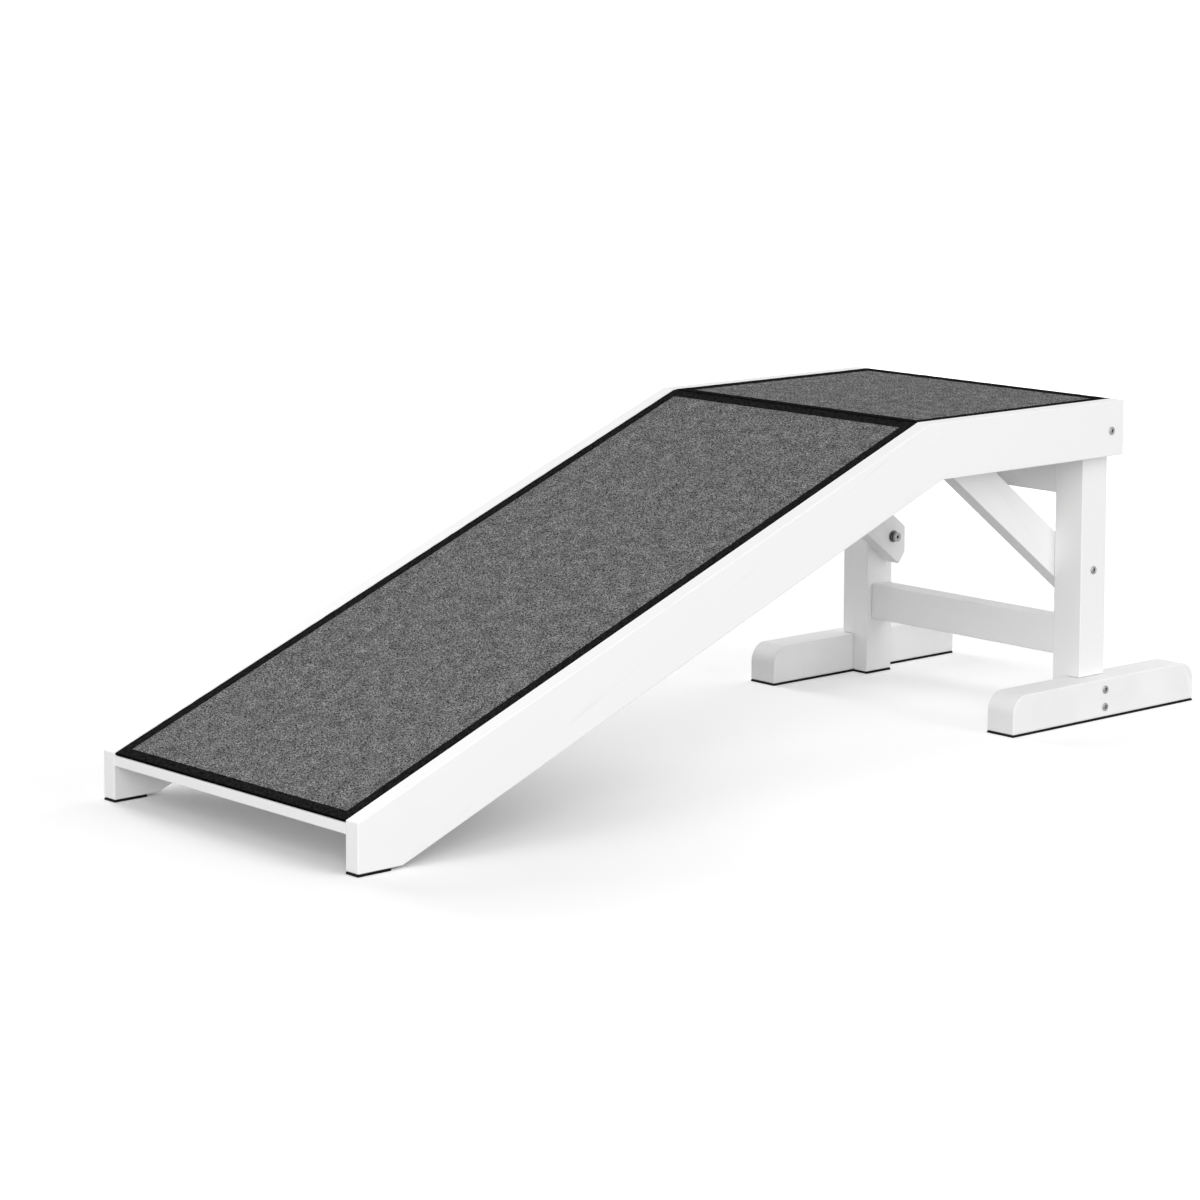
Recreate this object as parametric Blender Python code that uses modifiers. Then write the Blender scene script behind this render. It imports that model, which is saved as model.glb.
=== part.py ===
"""Pet ramp with a level platform on a braced leg frame.

The low end is on -X and the platform end on +X. Z is up and the floor is Z = 0. Left and right
are those of somebody who walks up the ramp, so left is +Y. The origin is on the floor, in the
middle of the whole footprint. Every profile below is drawn from the plumb low end, which the
empty "low_end" carries.
"""

import math

import bmesh
import bpy
from mathutils import Matrix, Vector

# Side panels
OUTER_WIDTH = 0.400
PANEL_THICKNESS = 0.018
LOW_END_HEIGHT = 0.0496
PLATFORM_HEIGHT = 0.346
SLOPE_RUN = 0.7415
PLATFORM_LENGTH = 0.304
SLOPE_PANEL_DEPTH = 0.063
PLATFORM_PANEL_DEPTH = 0.0595
BOARD_ROUNDING = 0.001

# Decks and what lies on them
DECK_THICKNESS = 0.0095
DECK_RECESS = 0.003
CARPET_RECESS = 0.0006
BINDING_WIDTH = 0.0125

# Strips and battens under the decks
CLEAT_SECTION = 0.016
CLEAT_FRONT_INSET = 0.030
BATTEN_WIDTH = 0.040
BATTEN_THICKNESS = 0.016
LOWER_BATTEN_PLACE = 0.260
UPPER_BATTEN_PLACE = 0.480
CREASE_BATTEN_REACH = 0.026
CREASE_BATTEN_DEPTH = 0.022

# Rubber pads
PAD_THICKNESS = 0.0022
TOE_PAD_LENGTH = 0.0385

# Leg frame
POST_WIDTH = 0.040
POST_DEPTH = 0.038
POST_SIDE_GAP = 0.004
PIVOT_DROP = 0.032
FOLD_LIMIT = math.radians(50)
FOOT_LENGTH = 0.2955
FOOT_WIDTH = 0.037
FOOT_HEIGHT = 0.0413
FOOT_CORNER_RADIUS = 0.020
FOOT_SIDE_INSET = 0.002
RAIL_THICKNESS = 0.026
RAIL_HEIGHT = 0.040
STRETCHER_BOTTOM = 0.064
TOP_RAIL_DROP = 0.065

# Braces
BRACE_WIDTH = 0.040
BRACE_THICKNESS = 0.020
BRACE_BOLT_HEIGHT = 0.160
BRACE_REACH = 0.1806
BRACE_TOP_DROP = 0.0485
BRACE_LOWER_OVERHANG = 0.028
BRACE_UPPER_OVERHANG = 0.020
BLOCK_LENGTH = 0.046
BLOCK_BOTTOM_INSET = 0.002

# Fasteners
BOLT_RADIUS = 0.003
HEAD_RADIUS = 0.0044
HEAD_HEIGHT = 0.0012
SOCKET_RADIUS = 0.0021
SOCKET_DEPTH = 0.0010
SOCKET_TURN = math.radians(7)
WASHER_RADIUS = 0.0067
WASHER_THICKNESS = 0.0015
SPACER_RADIUS = 0.009
NUT_RADIUS = 0.0054
NUT_HEIGHT = 0.0056
NUT_CAP = 0.0026
SCREW_DEPTH_IN_POST = 0.0125
FOOT_SCREW_HEIGHTS = (0.0130, 0.0320)
DOWEL_RADIUS = 0.004
DOWEL_LENGTH = 0.040
DOWEL_SPACING = 0.020

# Fits
SEAT_GAP = 0.0003
HOLE_CLEARANCE = 0.0003

ROUND_STEPS = 16
ARC_STEPS = 6

# Sizes that follow from the ones above
PANEL_LENGTH = SLOPE_RUN + PLATFORM_LENGTH
PANEL_INNER = OUTER_WIDTH / 2 - PANEL_THICKNESS
SLOPE_ANGLE = math.atan2(PLATFORM_HEIGHT - LOW_END_HEIGHT, SLOPE_RUN)
SLOPE_LENGTH = SLOPE_RUN / math.cos(SLOPE_ANGLE)
MITRE = math.tan(SLOPE_ANGLE / 2)
DECK_UNDERSIDE = DECK_RECESS + DECK_THICKNESS
PAD_SEAT = PAD_THICKNESS + SEAT_GAP
PIVOT_X = PANEL_LENGTH - POST_WIDTH / 2
PIVOT_HEIGHT = PLATFORM_HEIGHT - PIVOT_DROP
TOP_RAIL_BOTTOM = PLATFORM_HEIGHT - TOP_RAIL_DROP - RAIL_HEIGHT
BRACE_RISE = PLATFORM_HEIGHT - BRACE_TOP_DROP - BRACE_BOLT_HEIGHT
BRACE_ANGLE = math.atan2(BRACE_RISE, BRACE_REACH)
BRACE_SPAN = math.hypot(BRACE_REACH, BRACE_RISE)
POST_OUTER = PANEL_INNER - POST_SIDE_GAP
POST_INNER = POST_OUTER - POST_DEPTH
POST_TOP = PLATFORM_HEIGHT - DECK_UNDERSIDE - SEAT_GAP
FOOT_OUTER = OUTER_WIDTH / 2 - FOOT_SIDE_INSET
FOOT_INNER = FOOT_OUTER - FOOT_WIDTH
FOOT_TOP = PAD_SEAT + FOOT_HEIGHT
BRACE_OUTER = POST_INNER - SEAT_GAP
BRACE_INNER = BRACE_OUTER - BRACE_THICKNESS
HOLE_RADIUS = BOLT_RADIUS + HOLE_CLEARANCE
SIDES = (("left", 1), ("right", -1))


# Materials


def make_material(name, colour, roughness, metallic=0.0):
    """One Principled finish."""
    material = bpy.data.materials.new(name)
    material.use_nodes = True
    shader = material.node_tree.nodes["Principled BSDF"]
    shader.inputs["Base Color"].default_value = (*colour, 1.0)
    shader.inputs["Roughness"].default_value = roughness
    shader.inputs["Metallic"].default_value = metallic
    material.diffuse_color = (*colour, 1.0)
    return material


# Collections and mesh helpers


def make_collection(name):
    """An empty collection linked to the scene."""
    collection = bpy.data.collections.new(name)
    bpy.context.scene.collection.children.link(collection)
    return collection


def link_object(name, data, collection, parent=None):
    """A new object with this data, whose parent leaves its place in the world alone."""
    obj = bpy.data.objects.new(name, data)
    collection.objects.link(obj)
    if parent:
        obj.parent = parent
        obj.matrix_parent_inverse = parent.matrix_world.inverted()
    return obj


def make_empty(name, place, collection, parent=None):
    """An empty that marks an axis or a reference point."""
    empty = link_object(name, None, collection, parent)
    empty.empty_display_size = 0.05
    empty.matrix_world = Matrix.Translation(place)
    bpy.context.view_layer.update()
    return empty


def shade_by_angle(mesh):
    """Smooth shading that keeps every corner over 30 degrees sharp."""
    mesh.shade_smooth()
    mesh.set_sharp_from_angle(angle=math.radians(30))


def finish_object(obj, material):
    """The material and the shading of a finished piece."""
    obj.data.materials.clear()
    obj.data.materials.append(material)
    shade_by_angle(obj.data)
    return obj


def round_edges(obj, width=BOARD_ROUNDING, segments=2):
    """Rounds every edge over 30 degrees."""
    bevel = obj.modifiers.new("rounded_edges", "BEVEL")
    bevel.width = width
    bevel.segments = segments
    bevel.limit_method = "ANGLE"
    bevel.angle_limit = math.radians(30)
    return obj


def cut(obj, cutter):
    """Takes the cutter's shape out of the object."""
    boolean = obj.modifiers.new("cut_" + cutter.name, "BOOLEAN")
    boolean.operation = "DIFFERENCE"
    boolean.solver = "EXACT"
    boolean.object = cutter
    return obj


# Shapes


def board(name, outline, low_y, high_y, collection, parent):
    """An outline of (x, z) points from the low end, extruded across Y from low_y to high_y."""
    curve = bpy.data.curves.new(name, "CURVE")
    curve.dimensions = "2D"
    curve.fill_mode = "BOTH"
    curve.extrude = (high_y - low_y) / 2
    spline = curve.splines.new("POLY")
    spline.points.add(len(outline) - 1)
    for point, (x, z) in zip(spline.points, outline):
        point.co = (x, z, 0.0, 1.0)
    spline.use_cyclic_u = True
    guide = link_object(name + "_outline", curve, collection)
    guide.matrix_world = Matrix.Translation((LOW_END_X, (low_y + high_y) / 2, 0.0)) @ Matrix.Rotation(
        math.radians(90), 4, "X"
    )
    bpy.context.view_layer.update()
    graph = bpy.context.evaluated_depsgraph_get()
    mesh = bpy.data.meshes.new_from_object(guide.evaluated_get(graph))
    place = guide.matrix_world.copy()
    bpy.data.objects.remove(guide)
    bpy.data.curves.remove(curve)
    mesh.name = name
    weld(mesh)
    obj = link_object(name, mesh, collection, parent)
    obj.matrix_world = place
    return obj


def weld(mesh):
    """Joins the loose caps of a filled outline to its sides, as whole faces that point out."""
    shape = bmesh.new()
    shape.from_mesh(mesh)
    bmesh.ops.remove_doubles(shape, verts=shape.verts, dist=1e-6)
    bmesh.ops.dissolve_limit(
        shape, angle_limit=math.radians(0.1), verts=shape.verts, edges=shape.edges
    )
    bmesh.ops.recalc_face_normals(shape, faces=shape.faces)
    shape.to_mesh(mesh)
    shape.free()


def block(name, low, high, collection, parent=None):
    """A box between two corners, given from the low end."""
    low = Vector(low)
    high = Vector(high)
    mesh = bpy.data.meshes.new(name)
    shape = bmesh.new()
    bmesh.ops.create_cube(shape, size=1.0)
    bmesh.ops.scale(shape, vec=high - low, verts=shape.verts)
    shape.to_mesh(mesh)
    shape.free()
    obj = link_object(name, mesh, collection, parent)
    obj.matrix_world = Matrix.Translation((low + high) / 2 + Vector((LOW_END_X, 0.0, 0.0)))
    return obj


def rod_mesh(name, radius, length, sides=ROUND_STEPS):
    """A round rod along its own Z, from Z = 0 down to -length."""
    mesh = bpy.data.meshes.new(name)
    shape = bmesh.new()
    bmesh.ops.create_cone(
        shape,
        cap_ends=True,
        segments=sides,
        radius1=radius,
        radius2=radius,
        depth=length,
        matrix=Matrix.Translation((0.0, 0.0, -length / 2)),
    )
    shape.to_mesh(mesh)
    shape.free()
    return mesh


def turned_mesh(name, profile):
    """A profile of (radius, height) points, run from the top down its outer side."""
    mesh = bpy.data.meshes.new(name)
    points = [(radius, 0.0, height) for radius, height in profile]
    edges = [(i, i + 1) for i in range(len(points) - 1)]
    mesh.from_pydata(points, edges, [])
    return mesh


def turn(obj):
    """Turns an object's profile about its own Z."""
    screw = obj.modifiers.new("turned", "SCREW")
    screw.axis = "Z"
    screw.angle = math.radians(360)
    screw.steps = ROUND_STEPS
    screw.render_steps = ROUND_STEPS
    screw.use_merge_vertices = True
    screw.merge_threshold = 1e-6
    return obj


def face_along_y(x, y, z, direction):
    """The matrix that stands an object's own Z along +Y or -Y at a point given from the low end."""
    turn_about_x = Matrix.Rotation(math.radians(-90 * direction), 4, "X")
    return Matrix.Translation((LOW_END_X + x, y, z)) @ turn_about_x


def put_along_y(obj, x, y, z, direction):
    """Stands an object's own Z along Y."""
    obj.matrix_world = face_along_y(x, y, z, direction)
    return obj


def hole_along_y(name, x, z, from_y, to_y, radius=HOLE_RADIUS, sides=ROUND_STEPS):
    """A cutter for a round hole along Y."""
    low_y = min(from_y, to_y)
    high_y = max(from_y, to_y)
    obj = link_object(name, rod_mesh(name, radius, high_y - low_y, sides), cutters)
    put_along_y(obj, x, high_y, z, 1)
    obj.hide_render = True
    obj.display_type = "WIRE"
    return obj


def box_cutter(name, low, high):
    """A cutter for a notch."""
    obj = block(name, low, high, cutters)
    obj.hide_render = True
    obj.display_type = "WIRE"
    return obj


# Points on the slope and the platform, by distance along and depth below the top edge


def slope_point(along, depth):
    """A point under the slope's top edge, from its low corner."""
    x = along * math.cos(SLOPE_ANGLE) + depth * math.sin(SLOPE_ANGLE)
    z = LOW_END_HEIGHT + along * math.sin(SLOPE_ANGLE) - depth * math.cos(SLOPE_ANGLE)
    return (x, z)


def platform_point(along, depth):
    """A point under the platform's top edge, from the crease."""
    return (SLOPE_RUN + along, PLATFORM_HEIGHT - depth)


def slope_point_at(x, depth):
    """The point at this depth under the slope's top edge that lies at x from the low end."""
    along = (x - depth * math.sin(SLOPE_ANGLE)) / math.cos(SLOPE_ANGLE)
    return slope_point(along, depth)


def slope_rear(depth, gap=SEAT_GAP):
    """How far along the slope the mitred crease lies at this depth."""
    return SLOPE_LENGTH - depth * MITRE - gap / 2


def slope_layer(top, bottom):
    """The side view of a layer that fills the slope from its plumb front to the crease."""
    return [
        slope_point_at(0.0, bottom),
        slope_point(slope_rear(bottom), bottom),
        slope_point(slope_rear(top), top),
        slope_point_at(0.0, top),
    ]


def platform_layer(top, bottom):
    """The side view of a layer that fills the platform from the crease to its rear end."""
    rear = PLATFORM_LENGTH
    return [
        platform_point(bottom * MITRE + SEAT_GAP / 2, bottom),
        platform_point(rear, bottom),
        platform_point(rear, top),
        platform_point(top * MITRE + SEAT_GAP / 2, top),
    ]


def arc(centre, radius, start, end, steps=ARC_STEPS):
    """Points on an arc between two angles, measured from +X towards +Z."""
    angles = [start + (end - start) * i / steps for i in range(steps + 1)]
    return [(centre[0] + radius * math.cos(a), centre[1] + radius * math.sin(a)) for a in angles]


# Ramp body


def make_side_panels():
    """Two dog-leg panels, each one board, plumb at the low end and flat where it stands."""
    bottom_z = PAD_SEAT
    slope_bottom_at_zero = LOW_END_HEIGHT - SLOPE_PANEL_DEPTH / math.cos(SLOPE_ANGLE)
    platform_bottom = PLATFORM_HEIGHT - PLATFORM_PANEL_DEPTH
    outline = [
        (0.0, bottom_z),
        ((bottom_z - slope_bottom_at_zero) / math.tan(SLOPE_ANGLE), bottom_z),
        ((platform_bottom - slope_bottom_at_zero) / math.tan(SLOPE_ANGLE), platform_bottom),
        (PANEL_LENGTH, platform_bottom),
        (PANEL_LENGTH, PLATFORM_HEIGHT),
        (SLOPE_RUN, PLATFORM_HEIGHT),
        (0.0, LOW_END_HEIGHT),
    ]
    for side, sign in SIDES:
        edges = sorted((sign * PANEL_INNER, sign * OUTER_WIDTH / 2))
        panel = board(f"side_panel_{side}", outline, *edges, pieces, low_end)
        round_edges(panel)
        margin = PANEL_THICKNESS / 4
        hole = hole_along_y(
            f"panel_hole_{side}", PIVOT_X, PIVOT_HEIGHT, edges[0] - margin, edges[1] + margin
        )
        cut(panel, hole)
        finish_object(panel, white_paint)


def make_toe_pads():
    """A strip of rubber under the flat end of each side panel."""
    for side, sign in SIDES:
        edges = sorted((sign * PANEL_INNER, sign * OUTER_WIDTH / 2))
        corner = (TOE_PAD_LENGTH, edges[1], PAD_THICKNESS)
        pad = block(f"toe_pad_{side}", (0.0, edges[0], 0.0), corner, pieces, low_end)
        finish_object(pad, rubber)


def make_decks():
    """Two boards between the panels, mitred where they meet at the crease."""
    half = PANEL_INNER - SEAT_GAP
    for name, layer in (("slope_deck", slope_layer), ("platform_deck", platform_layer)):
        deck = board(name, layer(DECK_RECESS, DECK_UNDERSIDE), -half, half, pieces, low_end)
        finish_object(deck, white_paint)


def carpet_outlines():
    """Name, full outline, field outline and cutter outline of each carpet."""
    top = CARPET_RECESS
    bottom = DECK_RECESS - SEAT_GAP
    above = top - DECK_RECESS
    below = bottom + DECK_RECESS

    surfaces = (
        ("slope", slope_layer, slope_point, SLOPE_LENGTH),
        ("platform", platform_layer, platform_point, PLATFORM_LENGTH),
    )

    def patch(point, start, end, high, low):
        return [point(start, low), point(end, low), point(end, high), point(start, high)]

    for name, layer, point, length in surfaces:
        start = BINDING_WIDTH
        end = length - BINDING_WIDTH
        field = patch(point, start + SEAT_GAP, end - SEAT_GAP, top, bottom)
        yield name, layer(top, bottom), field, patch(point, start, end, above, below)


def make_carpets():
    """A needle-felt carpet glued to each deck, with a woven tape bound round its edge."""
    half = PANEL_INNER - SEAT_GAP
    inner = half - BINDING_WIDTH
    for name, whole, field, opening in carpet_outlines():
        binding = board(f"{name}_binding", whole, -half, half, pieces, low_end)
        cutter = board(f"{name}_binding_opening", opening, -inner, inner, cutters, None)
        cutter.hide_render = True
        cutter.display_type = "WIRE"
        cut(binding, cutter)
        finish_object(binding, black_tape)
        carpet = board(f"{name}_carpet", field, -inner + SEAT_GAP, inner - SEAT_GAP, pieces, low_end)
        finish_object(carpet, grey_felt)


def make_cleats():
    """Square strips glued along the panels, which the decks rest on."""
    top = DECK_UNDERSIDE + SEAT_GAP
    bottom = top + CLEAT_SECTION
    slope_end = SLOPE_RUN - CREASE_BATTEN_REACH - SEAT_GAP
    slope_outline = [
        slope_point_at(CLEAT_FRONT_INSET, bottom),
        slope_point_at(slope_end, bottom),
        slope_point_at(slope_end, top),
        slope_point_at(CLEAT_FRONT_INSET, top),
    ]
    front = BLOCK_REAR - SLOPE_RUN + SEAT_GAP
    rear = PIVOT_X - SLOPE_RUN - math.hypot(POST_WIDTH / 2, POST_TOP - PIVOT_HEIGHT) - 4 * SEAT_GAP
    platform_outline = [
        platform_point(front, bottom),
        platform_point(rear, bottom),
        platform_point(rear, top),
        platform_point(front, top),
    ]
    wall = PANEL_INNER - SEAT_GAP
    for side, sign in SIDES:
        edges = sorted((sign * wall, sign * (wall - CLEAT_SECTION)))
        for name, outline in (("slope", slope_outline), ("platform", platform_outline)):
            cleat = board(f"{name}_cleat_{side}", outline, *edges, pieces, low_end)
            finish_object(cleat, white_paint)


def make_battens():
    """Cross strips under the slope deck, and a shaped one that carries both decks at the crease."""
    top = DECK_UNDERSIDE + SEAT_GAP
    half = PANEL_INNER - CLEAT_SECTION - 2 * SEAT_GAP
    places = (("lower", LOWER_BATTEN_PLACE), ("upper", UPPER_BATTEN_PLACE))
    for name, place in places:
        outline = [
            slope_point(place, top + BATTEN_THICKNESS),
            slope_point(place + BATTEN_WIDTH, top + BATTEN_THICKNESS),
            slope_point(place + BATTEN_WIDTH, top),
            slope_point(place, top),
        ]
        batten = board(f"slope_batten_{name}", outline, -half, half, pieces, low_end)
        finish_object(batten, white_paint)
    bottom_z = PLATFORM_HEIGHT - top - CREASE_BATTEN_DEPTH
    front = slope_point_at(SLOPE_RUN - CREASE_BATTEN_REACH, top)
    rear = platform_point(CREASE_BATTEN_REACH, top)
    outline = [
        (front[0], bottom_z),
        (rear[0], bottom_z),
        rear,
        platform_point(top * MITRE, top),
        front,
    ]
    wall = PANEL_INNER - SEAT_GAP
    batten = board("crease_batten", outline, -wall, wall, pieces, low_end)
    finish_object(batten, white_paint)


def make_brace_blocks():
    """Blocks glued inside the panels, level with the posts, which take the upper brace bolts."""
    low_z = PLATFORM_HEIGHT - PLATFORM_PANEL_DEPTH + BLOCK_BOTTOM_INSET
    for side, sign in SIDES:
        edges = sorted((sign * POST_INNER, sign * (PANEL_INNER - SEAT_GAP)))
        corner = (BLOCK_REAR, edges[1], POST_TOP)
        piece = block(f"brace_block_{side}", (BLOCK_FRONT, edges[0], low_z), corner, pieces, low_end)
        round_edges(piece)
        hole = hole_along_y(
            f"block_hole_{side}", *UPPER_BOLT, sign * (POST_INNER - BRACE_THICKNESS / 2), sign * POST_OUTER
        )
        cut(piece, hole)
        finish_object(piece, white_paint)


# Leg frame


def post_outline():
    """The side view of a post, whose top is rounded in front about the pivot.

    The square rear corner meets the deck and stops the post upright.
    """
    front = PIVOT_X - POST_WIDTH / 2
    rear = PIVOT_X + POST_WIDTH / 2
    radius = POST_TOP - PIVOT_HEIGHT
    upright = math.radians(90)
    crown = arc((PIVOT_X, PIVOT_HEIGHT), radius, upright, upright + FOLD_LIMIT)
    tangent_height = (radius - POST_WIDTH / 2 * math.sin(FOLD_LIMIT)) / math.cos(FOLD_LIMIT)
    return [
        (front, PAD_SEAT),
        (rear, PAD_SEAT),
        (rear, POST_TOP),
        *crown,
        (front, PIVOT_HEIGHT + tangent_height),
    ]


def dowel_places():
    """Name and (x, z) of each dowel in the ends of the two cross rails."""
    for name, bottom in (("top_rail", TOP_RAIL_BOTTOM), ("stretcher", STRETCHER_BOTTOM)):
        middle = bottom + RAIL_HEIGHT / 2
        for level, shift in (("upper", DOWEL_SPACING / 2), ("lower", -DOWEL_SPACING / 2)):
            yield name, level, (PIVOT_X, middle + shift)


def dowel_hole(name, place, sign):
    """A cutter for one dowel, half of it in the post and half in the rail."""
    reach = DOWEL_LENGTH / 2 + HOLE_CLEARANCE
    middle = POST_INNER
    return hole_along_y(
        name, *place, sign * (middle - reach), sign * (middle + reach), DOWEL_RADIUS + HOLE_CLEARANCE, 12
    )


def make_posts():
    """Two upright legs. The outer half of each is cut away at the bottom to take its foot."""
    for side, sign in SIDES:
        edges = sorted((sign * POST_INNER, sign * POST_OUTER))
        post = board(f"post_{side}", post_outline(), *edges, pieces, leg_hinge)
        margin = POST_WIDTH
        notch_edges = sorted((sign * (FOOT_INNER - SEAT_GAP), sign * (POST_OUTER + margin)))
        notch = box_cutter(
            f"post_notch_{side}",
            (PIVOT_X - margin, notch_edges[0], -margin),
            (PIVOT_X + margin, notch_edges[1], FOOT_TOP + SEAT_GAP),
        )
        cut(post, notch)
        round_edges(post)
        through = (sign * (POST_INNER - POST_SIDE_GAP), sign * (POST_OUTER + POST_SIDE_GAP))
        for name, height in (("pivot", PIVOT_HEIGHT), ("brace", BRACE_BOLT_HEIGHT)):
            cut(post, hole_along_y(f"post_{name}_hole_{side}", PIVOT_X, height, *through))
        for number, height in enumerate(FOOT_SCREW_HEIGHTS, 1):
            end = FOOT_INNER - SEAT_GAP - SCREW_DEPTH_IN_POST - HOLE_CLEARANCE
            hole = hole_along_y(
                f"post_screw_hole_{side}_{number}", PIVOT_X, height, sign * end, sign * FOOT_OUTER
            )
            cut(post, hole)
        for name, level, place in dowel_places():
            cut(post, dowel_hole(f"post_{name}_{level}_hole_{side}", place, sign))
        finish_object(post, white_paint)


def make_rails():
    """Two cross rails between the posts, held by dowels that the posts hide."""
    half = POST_INNER - SEAT_GAP
    front = PIVOT_X - RAIL_THICKNESS / 2
    rear = PIVOT_X + RAIL_THICKNESS / 2
    for name, bottom in (("top_rail", TOP_RAIL_BOTTOM), ("stretcher", STRETCHER_BOTTOM)):
        rail = block(name, (front, -half, bottom), (rear, half, bottom + RAIL_HEIGHT), pieces, leg_hinge)
        round_edges(rail)
        for rail_name, level, place in dowel_places():
            if rail_name != name:
                continue
            for side, sign in SIDES:
                cut(rail, dowel_hole(f"{name}_{level}_hole_{side}", place, sign))
        finish_object(rail, white_paint)


def make_dowels():
    """Beech dowels, two to each end of each rail."""
    mesh = rod_mesh("dowel", DOWEL_RADIUS, DOWEL_LENGTH, 12)
    shade_by_angle(mesh)
    mesh.materials.append(beech)
    for name, level, place in dowel_places():
        for side, sign in SIDES:
            dowel = link_object(f"{name}_dowel_{level}_{side}", mesh, pieces, leg_hinge)
            put_along_y(dowel, place[0], sign * POST_INNER + DOWEL_LENGTH / 2, place[1], 1)


def make_feet():
    """Foot bars with rounded upper corners, half under and half outside the posts."""
    front = PIVOT_X - FOOT_LENGTH / 2
    rear = PIVOT_X + FOOT_LENGTH / 2
    radius = FOOT_CORNER_RADIUS
    quarter = math.radians(90)
    outline = [
        (front, PAD_SEAT),
        (rear, PAD_SEAT),
        *arc((rear - radius, FOOT_TOP - radius), radius, 0.0, quarter),
        *arc((front + radius, FOOT_TOP - radius), radius, quarter, 2 * quarter),
    ]
    for side, sign in SIDES:
        edges = sorted((sign * FOOT_INNER, sign * FOOT_OUTER))
        foot = board(f"foot_{side}", outline, *edges, pieces, leg_hinge)
        round_edges(foot)
        margin = FOOT_SIDE_INSET
        for number, height in enumerate(FOOT_SCREW_HEIGHTS, 1):
            hole = hole_along_y(
                f"foot_hole_{side}_{number}", PIVOT_X, height, edges[0] - margin, edges[1] + margin
            )
            cut(foot, hole)
        finish_object(foot, white_paint)
        corner = (rear, edges[1], PAD_THICKNESS)
        pad = block(f"foot_pad_{side}", (front, edges[0], 0.0), corner, pieces, leg_hinge)
        finish_object(pad, rubber)


def make_post_pads():
    """A rubber pad under the half of each post that reaches the floor."""
    front = PIVOT_X - POST_WIDTH / 2
    rear = PIVOT_X + POST_WIDTH / 2
    for side, sign in SIDES:
        edges = sorted((sign * POST_INNER, sign * (FOOT_INNER - SEAT_GAP)))
        corner = (rear, edges[1], PAD_THICKNESS)
        pad = block(f"post_pad_{side}", (front, edges[0], 0.0), corner, pieces, leg_hinge)
        finish_object(pad, rubber)


# Braces


def brace_point(along, across):
    """A point of the brace, from its lower bolt: along it, up towards the crease, and across it."""
    x = PIVOT_X - along * math.cos(BRACE_ANGLE) + across * math.sin(BRACE_ANGLE)
    z = BRACE_BOLT_HEIGHT + along * math.sin(BRACE_ANGLE) + across * math.cos(BRACE_ANGLE)
    return (x, z)


def brace_outline():
    """The side view of a brace: square at both ends, and trimmed plumb with the post's rear."""
    half = BRACE_WIDTH / 2
    low = -BRACE_LOWER_OVERHANG
    reach = POST_WIDTH / 2
    across_at_trim = (reach + low * math.cos(BRACE_ANGLE)) / math.sin(BRACE_ANGLE)
    along_at_trim = (half * math.sin(BRACE_ANGLE) - reach) / math.cos(BRACE_ANGLE)
    high = BRACE_SPAN + BRACE_UPPER_OVERHANG
    return [
        brace_point(low, -half),
        brace_point(low, across_at_trim),
        brace_point(along_at_trim, half),
        brace_point(high, half),
        brace_point(high, -half),
    ]


def make_braces():
    """Two diagonal braces on the inner faces of the posts."""
    outline = brace_outline()
    for side, sign in SIDES:
        edges = sorted((sign * BRACE_INNER, sign * BRACE_OUTER))
        brace = board(f"brace_{side}", outline, *edges, pieces, brace_hinge)
        round_edges(brace)
        margin = BRACE_THICKNESS / 4
        for name, place in (("lower", (PIVOT_X, BRACE_BOLT_HEIGHT)), ("upper", UPPER_BOLT)):
            hole = hole_along_y(f"brace_{name}_hole_{side}", *place, edges[0] - margin, edges[1] + margin)
            cut(brace, hole)
        finish_object(brace, white_paint)


# Fasteners


def bolt_profile(length):
    """A low domed head above Z = 0 and a shank down to -length."""
    return [
        (0.0, HEAD_HEIGHT),
        (HEAD_RADIUS * 0.72, HEAD_HEIGHT),
        (HEAD_RADIUS, HEAD_HEIGHT * 0.45),
        (HEAD_RADIUS, SEAT_GAP),
        (BOLT_RADIUS, SEAT_GAP),
        (BOLT_RADIUS, -length),
        (0.0, -length),
    ]


def nut_profile():
    """A sleeve nut: a round body with a blind bore that takes the bolt's end."""
    bore = HOLE_RADIUS
    bore_top = NUT_HEIGHT - NUT_CAP
    return [
        (0.0, NUT_HEIGHT),
        (NUT_RADIUS * 0.9, NUT_HEIGHT),
        (NUT_RADIUS, NUT_HEIGHT - NUT_RADIUS * 0.1),
        (NUT_RADIUS, 0.0),
        (bore, 0.0),
        (bore, bore_top),
        (0.0, bore_top),
    ]


def ring_mesh(name, outer, inner, thickness):
    """A flat ring that stands on Z = 0, as a closed profile for turning."""
    mesh = bpy.data.meshes.new(name)
    points = [(outer, 0.0, thickness), (outer, 0.0, 0.0), (inner, 0.0, 0.0), (inner, 0.0, thickness)]
    mesh.from_pydata(points, [(0, 1), (1, 2), (2, 3), (3, 0)], [])
    return mesh


def socket_cutter(name, depth_at, height):
    """A six-sided cutter for a key socket whose floor lies at depth_at on the fastener's own Z."""
    obj = link_object(name, rod_mesh(name, SOCKET_RADIUS, height, 6), cutters)
    obj.hide_render = True
    obj.display_type = "WIRE"
    return obj, depth_at + height


def make_fastener(name, mesh, top, place, direction, parent):
    """A turned fastener with a key socket in its outer end, standing along Y."""
    obj = link_object(name, mesh, pieces, parent)
    put_along_y(obj, *place, direction)
    turn(obj)
    cutter, lift = socket_cutter(name + "_socket", top - SOCKET_DEPTH, 2 * SOCKET_DEPTH)
    cutter.matrix_world = obj.matrix_world @ Matrix.Translation((0.0, 0.0, lift))
    cut(obj, cutter)
    return finish_object(obj, steel)


def make_washer(name, outer, thickness, place, direction, parent):
    """A flat washer, standing along Y."""
    obj = link_object(name, ring_mesh(name, outer, HOLE_RADIUS, thickness), pieces, parent)
    put_along_y(obj, *place, direction)
    turn(obj)
    return finish_object(obj, steel)


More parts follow.
